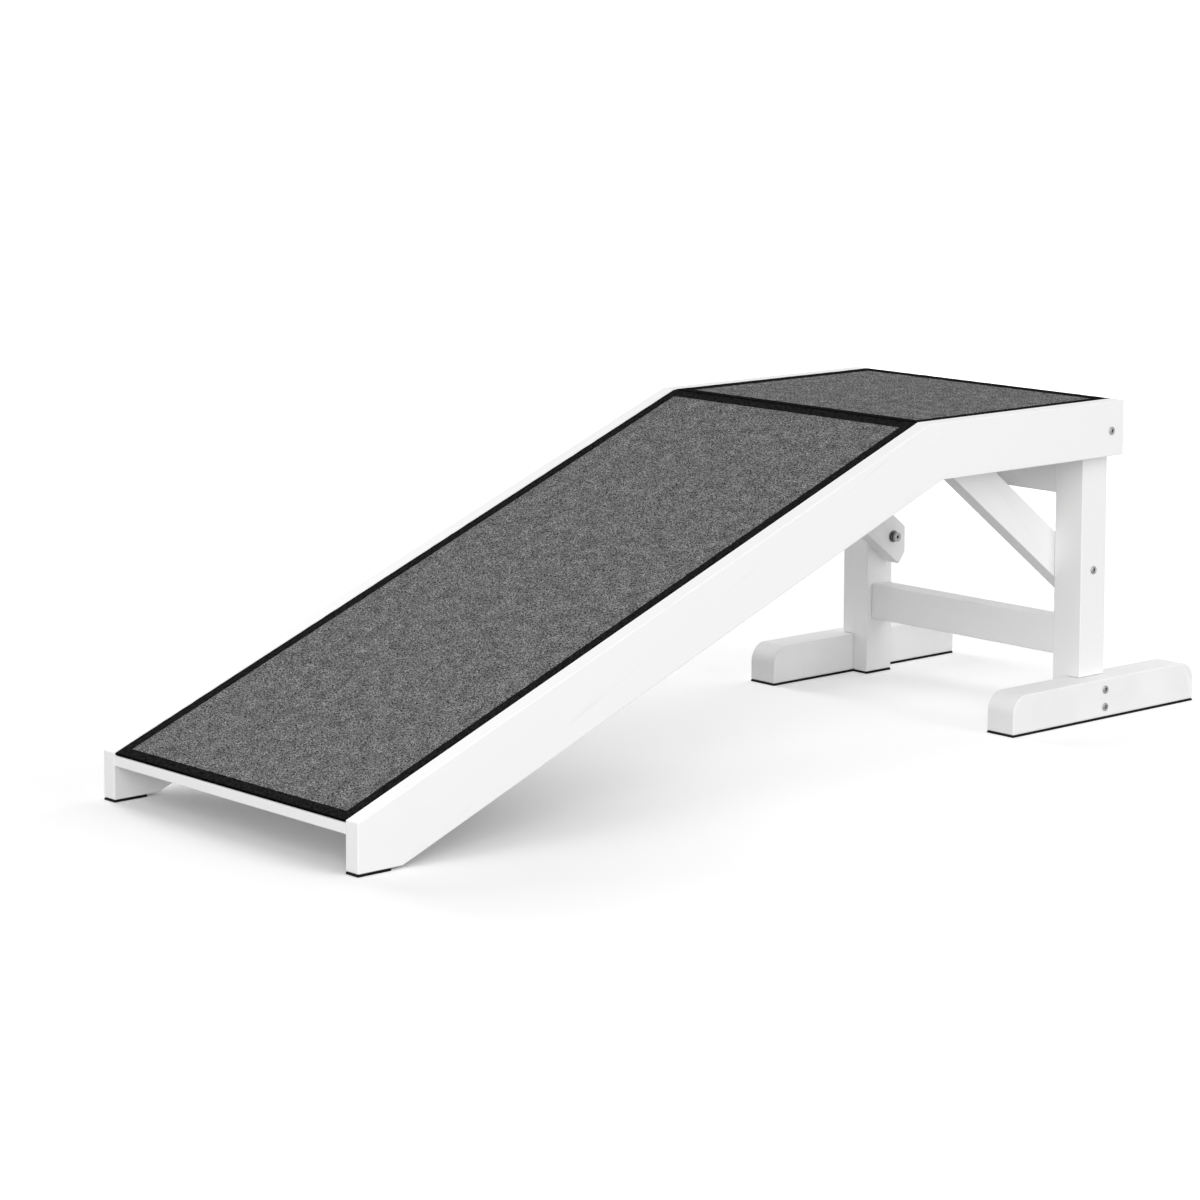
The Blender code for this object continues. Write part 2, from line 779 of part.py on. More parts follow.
def make_through_bolt(name, side, sign, height, outer_face, inner_face, parent):
    """A bolt whose head bears on the outer face, with a washer and a sleeve nut inside."""
    washer_face = inner_face - SEAT_GAP
    nut_face = washer_face - WASHER_THICKNESS - SEAT_GAP
    bolt_end = nut_face - (NUT_HEIGHT - NUT_CAP) + 2 * SEAT_GAP
    make_fastener(
        f"{name}_bolt_{side}",
        turned_mesh(f"{name}_bolt_{side}", bolt_profile(outer_face - bolt_end)),
        HEAD_HEIGHT,
        (PIVOT_X, sign * outer_face, height),
        sign,
        parent,
    )
    make_washer(
        f"{name}_washer_{side}",
        WASHER_RADIUS,
        WASHER_THICKNESS,
        (PIVOT_X, sign * washer_face, height),
        -sign,
        parent,
    )
    make_fastener(
        f"{name}_nut_{side}",
        turned_mesh(f"{name}_nut_{side}", nut_profile()),
        NUT_HEIGHT,
        (PIVOT_X, sign * nut_face, height),
        -sign,
        parent,
    )


def make_fasteners():
    """The bolts that the legs and braces turn on, and the screws that hold the feet."""
    for side, sign in SIDES:
        make_through_bolt("pivot", side, sign, PIVOT_HEIGHT, OUTER_WIDTH / 2, POST_INNER, low_end)
        make_washer(
            f"pivot_spacer_{side}",
            SPACER_RADIUS,
            POST_SIDE_GAP - 2 * SEAT_GAP,
            (PIVOT_X, sign * (PANEL_INNER - SEAT_GAP), PIVOT_HEIGHT),
            -sign,
            low_end,
        )
        make_through_bolt("brace", side, sign, BRACE_BOLT_HEIGHT, POST_OUTER, BRACE_INNER, leg_hinge)
        make_fastener(
            f"brace_top_bolt_{side}",
            turned_mesh(f"brace_top_bolt_{side}", bolt_profile(BRACE_THICKNESS)),
            HEAD_HEIGHT,
            (UPPER_BOLT[0], sign * BRACE_INNER, UPPER_BOLT[1]),
            -sign,
            brace_hinge,
        )
        screw_length = FOOT_WIDTH + SEAT_GAP + SCREW_DEPTH_IN_POST
        for number, height in enumerate(FOOT_SCREW_HEIGHTS, 1):
            make_fastener(
                f"foot_screw_{side}_{number}",
                turned_mesh(f"foot_screw_{side}_{number}", bolt_profile(screw_length)),
                HEAD_HEIGHT,
                (PIVOT_X, sign * FOOT_OUTER, height),
                sign,
                leg_hinge,
            )


# Assembly

for startup_object in list(bpy.data.objects):
    bpy.data.objects.remove(startup_object, do_unlink=True)

LOW_END_X = -(PIVOT_X + FOOT_LENGTH / 2) / 2
UPPER_BOLT = brace_point(BRACE_SPAN, 0.0)
BLOCK_FRONT = UPPER_BOLT[0] - BLOCK_LENGTH / 2
BLOCK_REAR = UPPER_BOLT[0] + BLOCK_LENGTH / 2

pieces = make_collection("pet_ramp")
cutters = make_collection("cutters")
cutters.hide_render = True

white_paint = make_material("white_paint", (0.86, 0.86, 0.85), 0.45)
rubber = make_material("rubber", (0.02, 0.02, 0.02), 0.8)
grey_felt = make_material("grey_felt", (0.13, 0.13, 0.13), 0.95)
black_tape = make_material("black_tape", (0.012, 0.012, 0.012), 0.85)
steel = make_material("steel", (0.55, 0.55, 0.56), 0.35, 1.0)
beech = make_material("beech", (0.62, 0.45, 0.27), 0.6)

low_end = make_empty("low_end", (LOW_END_X, 0.0, 0.0), pieces)
leg_hinge = make_empty("leg_hinge", (LOW_END_X + PIVOT_X, 0.0, PIVOT_HEIGHT), pieces, low_end)
brace_hinge = make_empty("brace_hinge", (LOW_END_X + PIVOT_X, 0.0, BRACE_BOLT_HEIGHT), pieces, leg_hinge)

make_side_panels()
make_toe_pads()
make_decks()
make_carpets()
make_cleats()
make_battens()
make_brace_blocks()
make_posts()
make_rails()
make_dowels()
make_feet()
make_post_pads()
make_braces()
make_fasteners()
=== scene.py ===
"""Pet ramp, dressed: painted boards, felt carpets with taped edges, rubber pads and steel fasteners."""

import math

import bmesh
import bpy
import numpy as np
from mathutils import Matrix, Vector


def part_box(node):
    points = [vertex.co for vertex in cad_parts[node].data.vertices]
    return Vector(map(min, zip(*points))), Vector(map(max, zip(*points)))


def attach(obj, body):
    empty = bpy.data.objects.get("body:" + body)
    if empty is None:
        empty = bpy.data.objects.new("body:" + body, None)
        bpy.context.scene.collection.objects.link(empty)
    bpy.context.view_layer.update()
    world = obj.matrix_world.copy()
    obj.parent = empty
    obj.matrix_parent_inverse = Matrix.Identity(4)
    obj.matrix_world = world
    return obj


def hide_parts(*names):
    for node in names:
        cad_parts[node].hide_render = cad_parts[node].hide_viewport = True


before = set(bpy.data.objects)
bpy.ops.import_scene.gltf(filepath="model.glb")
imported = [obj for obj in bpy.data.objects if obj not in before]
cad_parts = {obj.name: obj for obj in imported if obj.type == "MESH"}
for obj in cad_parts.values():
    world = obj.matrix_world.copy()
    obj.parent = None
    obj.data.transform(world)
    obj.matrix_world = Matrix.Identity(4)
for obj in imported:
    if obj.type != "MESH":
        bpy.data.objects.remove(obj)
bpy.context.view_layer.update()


# The camera stands before the low end, on the right-hand side and above the platform, and looks a
# little down through a long lens. Its shift puts the ramp in the middle of the picture.

view_yaw, view_pitch, view_roll = (math.radians(angle) for angle in (48.09651, 6.61441, 0.17552))
view_place = (-2.594158, -2.759779, 0.844362)
view_shift = -0.2
sensor_width = 36.0
focal_pixels = 3706.12853
picture_pixels = 1200.0
ahead = Vector(
    (
        math.cos(view_yaw) * math.cos(view_pitch),
        math.sin(view_yaw) * math.cos(view_pitch),
        -math.sin(view_pitch),
    )
)
level_right = Vector((math.sin(view_yaw), -math.cos(view_yaw), 0.0))
level_up = level_right.cross(ahead)
view_right = math.cos(view_roll) * level_right + math.sin(view_roll) * level_up
view_up = math.cos(view_roll) * level_up - math.sin(view_roll) * level_right
view_turn = Matrix((view_right, view_up, -ahead)).transposed().to_4x4()
camera_lens = bpy.data.cameras.new("view_camera")
camera_lens.sensor_width = sensor_width
camera_lens.lens = sensor_width * focal_pixels / picture_pixels
camera_lens.shift_y = view_shift
camera_lens.clip_end = 200.0
camera = bpy.data.objects.new("view_camera", camera_lens)
camera.matrix_world = Matrix.Translation(view_place) @ view_turn
bpy.context.scene.collection.objects.link(camera)
bpy.context.scene.camera = camera


# The studio: a wide pale floor, an even pale sky and soft lamps all round. The floor and the sky are
# plain white where the camera, or a mirror-like surface, sees them. The floor glows a little away
# from the low end, so that only the ramp's shadow is grey, and throws more light back by the feet.


def add_node(tree, kind, settings=None, inputs=None):
    """A shader node. Settings are its own properties, inputs its values or the sockets that feed them."""
    made = tree.nodes.new("ShaderNode" + kind)
    for name, value in (settings or {}).items():
        setattr(made, name, value)
    for name, value in (inputs or {}).items():
        if isinstance(value, bpy.types.NodeSocket):
            tree.links.new(value, made.inputs[name])
        else:
            made.inputs[name].default_value = value
    return made


def number_of(tree, operation, *values):
    """What a sum, product or other plain operation on these values or sockets gives."""
    return add_node(tree, "Math", {"operation": operation}, dict(enumerate(values))).outputs[0]


def vector_of(tree, operation, *vectors):
    """What an operation on these vectors gives: a vector, but a number for a length or a distance."""
    made = add_node(tree, "VectorMath", {"operation": operation}, dict(enumerate(vectors)))
    return made.outputs["Value" if operation in ("LENGTH", "DISTANCE") else "Vector"]


def scaled(tree, vector, factor):
    """A vector or a colour times a number."""
    return add_node(tree, "VectorMath", {"operation": "SCALE"}, {0: vector, "Scale": factor}).outputs[0]


def carried(tree, value, low, high, to_low=0.0, to_high=1.0, manner="LINEAR"):
    """A value carried from the range low to high over to another range, and held at its ends."""
    ends = {"From Min": low, "From Max": high, "To Min": to_low, "To Max": to_high}
    return add_node(tree, "MapRange", {"interpolation_type": manner}, {"Value": value, **ends}).outputs[0]


def noise(tree, place, scale, detail, roughness=0.5, dimensions="3D"):
    """Cloudy noise from 0 to 1, about a half in the middle."""
    values = {"Vector": place, "Scale": scale, "Detail": detail, "Roughness": roughness}
    return add_node(tree, "TexNoise", {"noise_dimensions": dimensions}, values).outputs["Fac"]


def between(tree, share, first, second):
    """The colour that lies this share of the way from the first to the second."""
    return add_node(tree, "Mix", {"data_type": "RGBA"}, {0: share, 6: first, 7: second}).outputs[2]


def grey(tone):
    """A neutral colour."""
    return (tone, tone, tone, 1.0)


def lit_or_seen(tree, lit, seen, kind):
    """One shader where this lights something, and another where a camera, gloss or clear surface sees it."""
    path = add_node(tree, "LightPath").outputs
    share = number_of(tree, "MAXIMUM", path["Is Camera Ray"], path["Is Glossy Ray"])
    share = number_of(tree, "MAXIMUM", share, path["Is Transmission Ray"])
    mix = add_node(tree, "MixShader", None, {0: share, 1: lit.outputs[0], 2: seen.outputs[0]})
    add_node(tree, "Output" + kind, None, {"Surface": mix.outputs[0]})


sky = bpy.data.worlds.new("studio_sky")
sky.use_nodes = True
sky_tree = sky.node_tree
sky_tree.nodes.clear()
sky_light = add_node(sky_tree, "Background", None, {"Color": grey(1.0), "Strength": 0.55})
sky_seen = add_node(sky_tree, "Background", None, {"Color": grey(1.0), "Strength": 1.0})
lit_or_seen(sky_tree, sky_light, sky_seen, "World")
bpy.context.scene.world = sky

floor_paint = bpy.data.materials.new("studio_floor")
floor_paint.use_nodes = True
floor_tree = floor_paint.node_tree
floor_tree.nodes.clear()
floor_place = add_node(floor_tree, "TexCoord").outputs["Object"]
floor_tone = between(floor_tree, noise(floor_tree, floor_place, 3.0, 3.0), grey(0.395), grey(0.405))
off_feet = vector_of(floor_tree, "DISTANCE", floor_place, (0.6, 0.0, 0.0))
thrown_back = carried(floor_tree, off_feet, 0.15, 0.55, 1.5, 1.0, "SMOOTHSTEP")
floor_matt = add_node(floor_tree, "BsdfDiffuse", None, {"Color": scaled(floor_tree, floor_tone, thrown_back)})
floor_white = add_node(floor_tree, "BsdfDiffuse", None, {"Color": grey(1.0)})
off_middle = vector_of(floor_tree, "LENGTH", floor_place)
far_glow = carried(floor_tree, off_middle, 1.0, 3.5, 0.0, 0.6, "SMOOTHSTEP")
off_low_end = vector_of(floor_tree, "DISTANCE", floor_place, (-0.80, 0.0, 0.0))
near_glow = carried(floor_tree, off_low_end, 0.4, 0.8, 0.0, 0.14, "SMOOTHSTEP")
floor_glow = number_of(floor_tree, "ADD", far_glow, near_glow)
floor_lift = add_node(floor_tree, "Emission", None, {"Color": grey(1.0), "Strength": floor_glow})
floor_seen = add_node(floor_tree, "AddShader", None, {0: floor_white.outputs[0], 1: floor_lift.outputs[0]})
lit_or_seen(floor_tree, floor_matt, floor_seen, "Material")
floor_reach = 60.0
floor_corners = [(x * floor_reach, y * floor_reach, 0) for x, y in ((-1, -1), (1, -1), (1, 1), (-1, 1))]
floor_mesh = bpy.data.meshes.new("studio_floor")
floor_mesh.from_pydata(floor_corners, [], [(0, 1, 2, 3)])
floor_mesh.materials.append(floor_paint)
studio_floor = bpy.data.objects.new("studio_floor", floor_mesh)
bpy.context.scene.collection.objects.link(studio_floor)

lamp_aim = Vector((0.0, 0.0, 0.15))
for lamp_name, lamp_place, lamp_size, lamp_power in (
    ("lamp_right_high", (0.8, -4.2, 2.2), 2.6, 24.5),
    ("lamp_right_low", (0.8, -4.2, 0.9), 1.6, 30.0),
    ("lamp_front", (-4.4, -0.6, 0.8), 1.5, 25.0),
    ("lamp_corner_high", (-3.2, -3.2, 2.6), 2.4, 58.0),
    ("lamp_corner_low", (-3.4, -3.4, 1.0), 1.6, 48.5),
    ("lamp_left_high", (0.0, 4.2, 2.4), 2.4, 41.0),
    ("lamp_left_low", (0.0, 4.2, 1.0), 1.6, 72.0),
    ("lamp_rear", (4.2, 0.5, 1.6), 2.4, 30.0),
):
    lamp_data = bpy.data.lights.new(lamp_name, "AREA")
    lamp_data.shape = "DISK"
    lamp_data.size = lamp_size
    lamp_data.energy = lamp_power
    lamp = bpy.data.objects.new(lamp_name, lamp_data)
    lamp_turn = (lamp_aim - Vector(lamp_place)).to_track_quat("-Z", "Y").to_matrix().to_4x4()
    lamp.matrix_world = Matrix.Translation(lamp_place) @ lamp_turn
    bpy.context.scene.collection.objects.link(lamp)
bpy.context.scene.view_settings.view_transform = "Standard"


# Side panels: two dog-leg boards, each sawn in one piece from 18 mm board, eased along every edge and
# sprayed with white satin paint. They carry the decks, and stand on their flat low ends.


def eased_outline(corners, radius, steps=4, support=0.0004):
    """Points and outward normals of a closed outline, given anticlockwise, with an arc at each corner.

    An arc's centre lies radius / cos(half the turn) from its corner, on the bisector, and its points
    are centre + radius * normal as the normal swings from one side's to the next. One more point on
    each side of every arc keeps the flat sides flat under smooth shading.
    """
    corners = np.array(corners, float)
    before = corners - np.roll(corners, 1, axis=0)
    before /= np.linalg.norm(before, axis=1, keepdims=True)
    after = np.roll(before, -1, axis=0)
    normal_in = np.stack((before[:, 1], -before[:, 0]), axis=1)
    normal_out = np.stack((after[:, 1], -after[:, 0]), axis=1)
    dot = (before * after).sum(1)
    turn = np.arctan2(before[:, 0] * after[:, 1] - before[:, 1] * after[:, 0], dot)
    reach = (np.broadcast_to(radius, len(corners)) * np.sign(turn))[:, None]
    centre = corners - reach * (normal_in + normal_out) / (1 + dot)[:, None]
    start = np.arctan2(normal_in[:, 1], normal_in[:, 0])
    angle = start[:, None] + turn[:, None] * np.linspace(0, 1, steps + 1)
    normals = np.stack((np.cos(angle), np.sin(angle)), axis=2)
    points = centre[:, None] + reach[:, None] * normals
    first = points[:, :1] - support * before[:, None]
    last = points[:, -1:] + support * after[:, None]
    points = np.concatenate((first, points, last), axis=1).reshape(-1, 2)
    normals = np.concatenate((normals[:, :1], normals, normals[:, -1:]), axis=1).reshape(-1, 2)
    on_arc = np.tile([0.0] + [1.0] * (steps + 1) + [0.0], len(corners))
    return points, normals, on_arc


def eased_section(low, high, rounding, steps=4, support=0.0004):
    """Inset and height of each ring from one face of a board to the other, a quarter circle at each edge."""
    angle = np.linspace(0, math.pi / 2, steps + 1)
    inset = np.concatenate(([rounding + support], rounding * (1 - np.sin(angle)), [0.0]))
    rise = np.concatenate(([0.0], rounding * (1 - np.cos(angle)), [rounding + support]))
    on_edge = np.array([0.0] + [1.0] * (steps + 1) + [0.0])
    return (
        np.concatenate((inset, inset[::-1])),
        np.concatenate((low + rise, high - rise[::-1])),
        np.concatenate((on_edge, on_edge[::-1])),
    )


def face_outwards(mesh):
    """Every face turned outwards and shaded smooth."""
    shape = bmesh.new()
    shape.from_mesh(mesh)
    bmesh.ops.recalc_face_normals(shape, faces=shape.faces)
    shape.to_mesh(mesh)
    shape.free()
    mesh.shade_smooth()


def lay_flat(mesh, flat):
    """A map of the surface laid flat, from the flat position of each point, in metres."""
    loops = np.empty(len(mesh.loops), np.int32)
    mesh.loops.foreach_get("vertex_index", loops)
    layer = mesh.uv_layers.new(name="flat")
    layer.data.foreach_set("uv", flat.reshape(-1, 2)[loops].astype(np.float32).ravel())


def mesh_from_grid(name, grid, round_columns=False, marks=None, flat=None):
    """A mesh of quads on a grid of points, joined round its rows.

    It is joined round its columns too, or else its end rows are filled. marks are named numbers
    carried by the points, and flat is a grid of flat positions.
    """
    rows, columns = grid.shape[:2]
    index = np.arange(rows * columns).reshape(rows, columns)
    near, far = index, np.roll(index, -1, axis=1)
    next_near, next_far = np.roll(near, -1, axis=0), np.roll(far, -1, axis=0)
    kept = slice(None) if round_columns else slice(None, -1)
    quads = np.stack((near[kept], far[kept], next_far[kept], next_near[kept]), axis=-1)
    ends = [] if round_columns else [index[0, ::-1].tolist(), index[-1].tolist()]
    mesh = bpy.data.meshes.new(name)
    mesh.from_pydata(grid.reshape(-1, 3).tolist(), [], quads.reshape(-1, 4).tolist() + ends)
    for mark, values in (marks or {}).items():
        layer = mesh.attributes.new(mark, "FLOAT", "POINT")
        layer.data.foreach_set("value", np.broadcast_to(values, (rows, columns)).ravel().astype(np.float32))
    if flat is not None:
        lay_flat(mesh, flat)
    face_outwards(mesh)
    return mesh


def board(name, corners, low, high, radius=0.0014, rounding=0.0010, steps=4):
    """A board: the outline carried through its thickness, point = outline - inset * normal at each ring."""
    points, normals, on_arc = eased_outline(corners, radius, steps)
    inset, across, on_edge = eased_section(low, high, rounding)
    outline = points[None] - inset[:, None, None] * normals[None]
    across = np.broadcast_to(across[:, None], outline.shape[:2])
    grid = np.stack((outline[..., 0], across, outline[..., 1]), axis=-1)
    return mesh_from_grid(name, grid, marks={"arris": np.maximum(on_arc[None], on_edge[:, None])})


def put(mesh, material, body, node):
    """A finished piece in the scene: its material, its body and the node that it stands for."""
    mesh.materials.append(material)
    piece = bpy.data.objects.new(mesh.name, mesh)
    bpy.context.scene.collection.objects.link(piece)
    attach(piece, body)
    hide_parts(node)
    return piece


def new_group(name, inputs, outputs):
    """An empty node group with these sockets, and its two ends."""
    group = bpy.data.node_groups.new(name, "ShaderNodeTree")
    for way, sockets in (("INPUT", inputs), ("OUTPUT", outputs)):
        for title, kind in sockets.items():
            group.interface.new_socket(title, in_out=way, socket_type="NodeSocket" + kind)
    return group, group.nodes.new("NodeGroupInput").outputs, group.nodes.new("NodeGroupOutput").inputs


def new_material(name, **values):
    """A material with one Principled shader, these values set on it, and its tree and shader."""
    material = bpy.data.materials.new(name)
    material.use_nodes = True
    shader = material.node_tree.nodes["Principled BSDF"]
    for title, value in values.items():
        shader.inputs[title.replace("_", " ")].default_value = value
    return material, material.node_tree, shader


def finish(tree, shader, colour, height, strength, distance, roughness=None):
    """A colour, a relief of this strength and depth and, where it changes, a roughness on a shader."""
    relief = add_node(tree, "Bump", None, {"Strength": strength, "Distance": distance, "Height": height})
    tree.links.new(colour, shader.inputs["Base Color"])
    tree.links.new(relief.outputs[0], shader.inputs["Normal"])
    if roughness is not None:
        tree.links.new(roughness, shader.inputs["Roughness"])


satin_group, satin_in, satin_out = new_group(
    "satin_paint",
    {"Along": "Vector", "Arris": "Float", "Colour": "Color"},
    {"Colour": "Color", "Roughness": "Float", "Height": "Float"},
)
# Spray stipple is about a millimetre across; the wood's grain shows through as long faint ridges;
# handling leaves broad dull patches; and the paint is thinner and duller where the arris is eased.
stipple = noise(satin_group, satin_in["Along"], 950.0, 2.0)
grain_space = vector_of(satin_group, "MULTIPLY", satin_in["Along"], (9.0, 260.0, 260.0))
grain = noise(satin_group, grain_space, 1.0, 4.0, 0.6)
patches = noise(satin_group, satin_in["Along"], 16.0, 3.0)
grain_height = number_of(satin_group, "MULTIPLY", grain, 0.55)
paint_height = number_of(satin_group, "MULTIPLY_ADD", stipple, 0.45, grain_height)
worn = number_of(satin_group, "MULTIPLY", satin_in["Arris"], patches)
paint_tone = number_of(
    satin_group,
    "MULTIPLY",
    carried(satin_group, grain, 0.3, 0.7, 0.992, 1.0),
    carried(satin_group, patches, 0.3, 0.7, 0.994, 1.0),
)
worn_tone = carried(satin_group, worn, 0.45, 0.75, 1.0, 0.93)
paint_tone = number_of(satin_group, "MULTIPLY", paint_tone, worn_tone)
paint_colour = scaled(satin_group, satin_in["Colour"], paint_tone)
patch_dull = carried(satin_group, patches, 0.3, 0.7, 0.40, 0.50)
paint_dull = number_of(satin_group, "MULTIPLY_ADD", satin_in["Arris"], 0.06, patch_dull)
satin_group.links.new(paint_colour, satin_out["Colour"])
satin_group.links.new(paint_dull, satin_out["Roughness"])
satin_group.links.new(paint_height, satin_out["Height"])


def satin_paint(name, turn):
    """White satin paint on a board whose grain runs along X, once the board is turned back by this much."""
    material, tree, shader = new_material(name, IOR=1.45)
    place = add_node(tree, "TexCoord").outputs["Object"]
    along = add_node(tree, "Mapping", {"vector_type": "TEXTURE"}, {"Vector": place, "Rotation": turn})
    arris = add_node(tree, "Attribute", {"attribute_name": "arris"})
    values = {"Along": along.outputs[0], "Arris": arris.outputs["Fac"], "Colour": (0.87, 0.87, 0.868, 1.0)}
    paint = add_node(tree, "Group", {"node_tree": satin_group}, values).outputs
    finish(tree, shader, paint["Colour"], paint["Height"], 0.22, 0.00012, paint["Roughness"])
    return material


slope_run = 0.7415
platform_length = 0.304
platform_top = 0.346
low_end_height = 0.0496
slope_panel_depth = 0.063
platform_panel_depth = 0.0595
slope_angle = math.atan2(platform_top - low_end_height, slope_run)
slope_length = slope_run / math.cos(slope_angle)
panel_length = slope_run + platform_length
panel_low_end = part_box("side_panel_left")[0].x
panel_inner = 0.182
panel_outer = 0.200
panel_bottom = 0.0025
slope_panel_bottom = low_end_height - slope_panel_depth / math.cos(slope_angle)
platform_panel_bottom = platform_top - platform_panel_depth
panel_outline = [
    (0.0, panel_bottom),
    ((panel_bottom - slope_panel_bottom) / math.tan(slope_angle), panel_bottom),
    ((platform_panel_bottom - slope_panel_bottom) / math.tan(slope_angle), platform_panel_bottom),
    (panel_length, platform_panel_bottom),
    (panel_length, platform_top),
    (slope_run, platform_top),
    (0.0, low_end_height),
]
panel_outline = [(panel_low_end + x, z) for x, z in panel_outline]
paint_along_slope = satin_paint("paint_along_slope", (0.0, -slope_angle, 0.0))
sides = (("left", 1), ("right", -1))
for side, sign in sides:
    panel = board(f"panel_board_{side}", panel_outline, *sorted((sign * panel_inner, sign * panel_outer)))
    put(panel, paint_along_slope, "ramp", f"side_panel_{side}")


# Toe pads: strips of black rubber, 2 mm thick, glued under the flat low ends of the side panels so
# that the paint stays off the floor and the ramp doesn't slide.

rubber, rubber_tree, rubber_shader = new_material("black_rubber", Specular_IOR_Level=0.12)
rubber_place = add_node(rubber_tree, "TexCoord").outputs["Object"]
rubber_pores = add_node(rubber_tree, "TexVoronoi", None, {"Vector": rubber_place, "Scale": 1400.0})
rubber_dust = noise(rubber_tree, rubber_place, 90.0, 6.0)
dusty = carried(rubber_tree, rubber_dust, 0.48, 0.72)
rubber_tone = between(rubber_tree, dusty, grey(0.006), (0.018, 0.018, 0.017, 1.0))
rubber_dull = carried(rubber_tree, rubber_dust, 0.0, 1.0, 0.62, 0.9)
finish(rubber_tree, rubber_shader, rubber_tone, rubber_pores.outputs["Distance"], 0.5, 0.0002, rubber_dull)


def oblong(front, rear, bottom, top):
    """The four corners of an oblong, anticlockwise."""
    return [(front, bottom), (rear, bottom), (rear, top), (front, top)]


def rubber_strip(name, node, body):
    """A rubber strip that fills its node's box, with slightly rounded edges."""
    low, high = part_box(node)
    strip = board(name, oblong(low.x, high.x, low.z, high.z), low.y, high.y, radius=0.0006, rounding=0.0004)
    return put(strip, rubber, body, node)


for side, _ in sides:
    rubber_strip(f"toe_strip_{side}", f"toe_pad_{side}", "ramp")


# Decks: two thin painted boards let in between the side panels, 3 mm below their top edges, mitred
# where they meet at the crease. The slope's deck is cut plumb at the front, where its edge shows.

deck_recess = 0.003
deck_bottom = 0.0125
seat_gap = 0.0003
mitre = math.tan(slope_angle / 2)


def slope_point(along, depth):
    """The point this far along the slope's top edge and this deep under it, square to it."""
    return (
        panel_low_end + along * math.cos(slope_angle) + depth * math.sin(slope_angle),
        low_end_height + along * math.sin(slope_angle) - depth * math.cos(slope_angle),
    )


def slope_point_at(x, depth):
    """The point this deep under the slope that lies at this x from the low end."""
    return slope_point((x - depth * math.sin(slope_angle)) / math.cos(slope_angle), depth)


def platform_point(along, depth):
    """The point this far behind the crease and this deep under the platform's top edge."""
    return (panel_low_end + slope_run + along, platform_top - depth)


deck_half = panel_inner - seat_gap
slope_deck_outline = [
    slope_point_at(0.0, deck_bottom),
    slope_point(slope_length - deck_bottom * mitre - seat_gap / 2, deck_bottom),
    slope_point(slope_length - deck_recess * mitre - seat_gap / 2, deck_recess),
    slope_point_at(0.0, deck_recess),
]
platform_deck_outline = [
    platform_point(deck_bottom * mitre + seat_gap / 2, deck_bottom),
    platform_point(platform_length, deck_bottom),
    platform_point(platform_length, deck_recess),
    platform_point(deck_recess * mitre + seat_gap / 2, deck_recess),
]
paint_along_x = satin_paint("paint_along_x", (0.0, 0.0, 0.0))
for name, deck_outline, paint in (
    ("slope", slope_deck_outline, paint_along_slope),
    ("platform", platform_deck_outline, paint_along_x),
):
    deck = board(f"{name}_board", deck_outline, -deck_half, deck_half, radius=0.0008, rounding=0.0006)
    put(deck, paint, "ramp", f"{name}_deck")


# Cleats and battens: planed softwood strips glued along the side panels and across under the decks,
# which they carry, and painted with them. The two blocks take the bolts of the braces' upper ends.

cleat_size = 0.016
cleat_front = 0.030
batten_width = 0.040
batten_thickness = 0.016
crease_reach = 0.026
crease_depth = 0.022
strip_top = deck_bottom + seat_gap
cleat_bottom = strip_top + cleat_size
cleat_wall = panel_inner - seat_gap
cleat_inner = cleat_wall - cleat_size
platform_start = platform_point(0.0, 0.0)[0]
slope_cleat_span = (cleat_front, slope_run - crease_reach - seat_gap)
platform_cleat_span = (
    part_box("brace_block_left")[1].x - platform_start + seat_gap,
    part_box("platform_cleat_left")[1].x - platform_start,
)


def hidden_node(node, material):
    """A piece out of sight keeps its plain shape, and takes this material."""
    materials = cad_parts[node].data.materials
    materials.clear()
    materials.append(material)


for side, sign in sides:
    for name, point, span, paint in (
        ("slope", slope_point_at, slope_cleat_span, paint_along_slope),
        ("platform", platform_point, platform_cleat_span, paint_along_x),
    ):
        cleat_outline = [point(*corner) for corner in oblong(*span, cleat_bottom, strip_top)]
        low, high = sorted((sign * cleat_inner, sign * cleat_wall))
        cleat = board(f"{name}_strip_{side}", cleat_outline, low, high)
        put(cleat, paint, "ramp", f"{name}_cleat_{side}")
    hidden_node(f"brace_block_{side}", paint_along_x)

paint_along_y = satin_paint("paint_along_y", (0.0, 0.0, math.radians(90)))
batten_half = cleat_inner - seat_gap
for level, place in (("lower", 0.260), ("upper", 0.480)):
    corners = oblong(place, place + batten_width, strip_top + batten_thickness, strip_top)
    batten_outline = [slope_point(*corner) for corner in corners]
    batten = board(f"cross_strip_{level}", batten_outline, -batten_half, batten_half)
    put(batten, paint_along_y, "ramp", f"slope_batten_{level}")
crease_front = slope_point_at(slope_run - crease_reach, strip_top)
crease_rear = platform_point(crease_reach, strip_top)
crease_bottom = platform_top - strip_top - crease_depth
crease_outline = [
    (crease_front[0], crease_bottom),
    (crease_rear[0], crease_bottom),
    crease_rear,
    platform_point(strip_top * mitre, strip_top),
    crease_front,
]
crease_strip = board("crease_strip", crease_outline, -cleat_wall, cleat_wall)
put(crease_strip, paint_along_y, "ramp", "crease_batten")


# Carpets: mottled grey needle felt, 2 mm thick, cut to the decks and glued down. Fibres of many
# greys lie in every direction, and the felt is pressed thin where the tape wraps its edge.

fibre_group, fibre_in, fibre_out = new_group(
    "short_fibres",
    {"Place": "Vector", "Scale": "Float", "Half Length": "Float", "Half Width": "Float"},
    {"Mask": "Float", "Pick": "Float"},
)
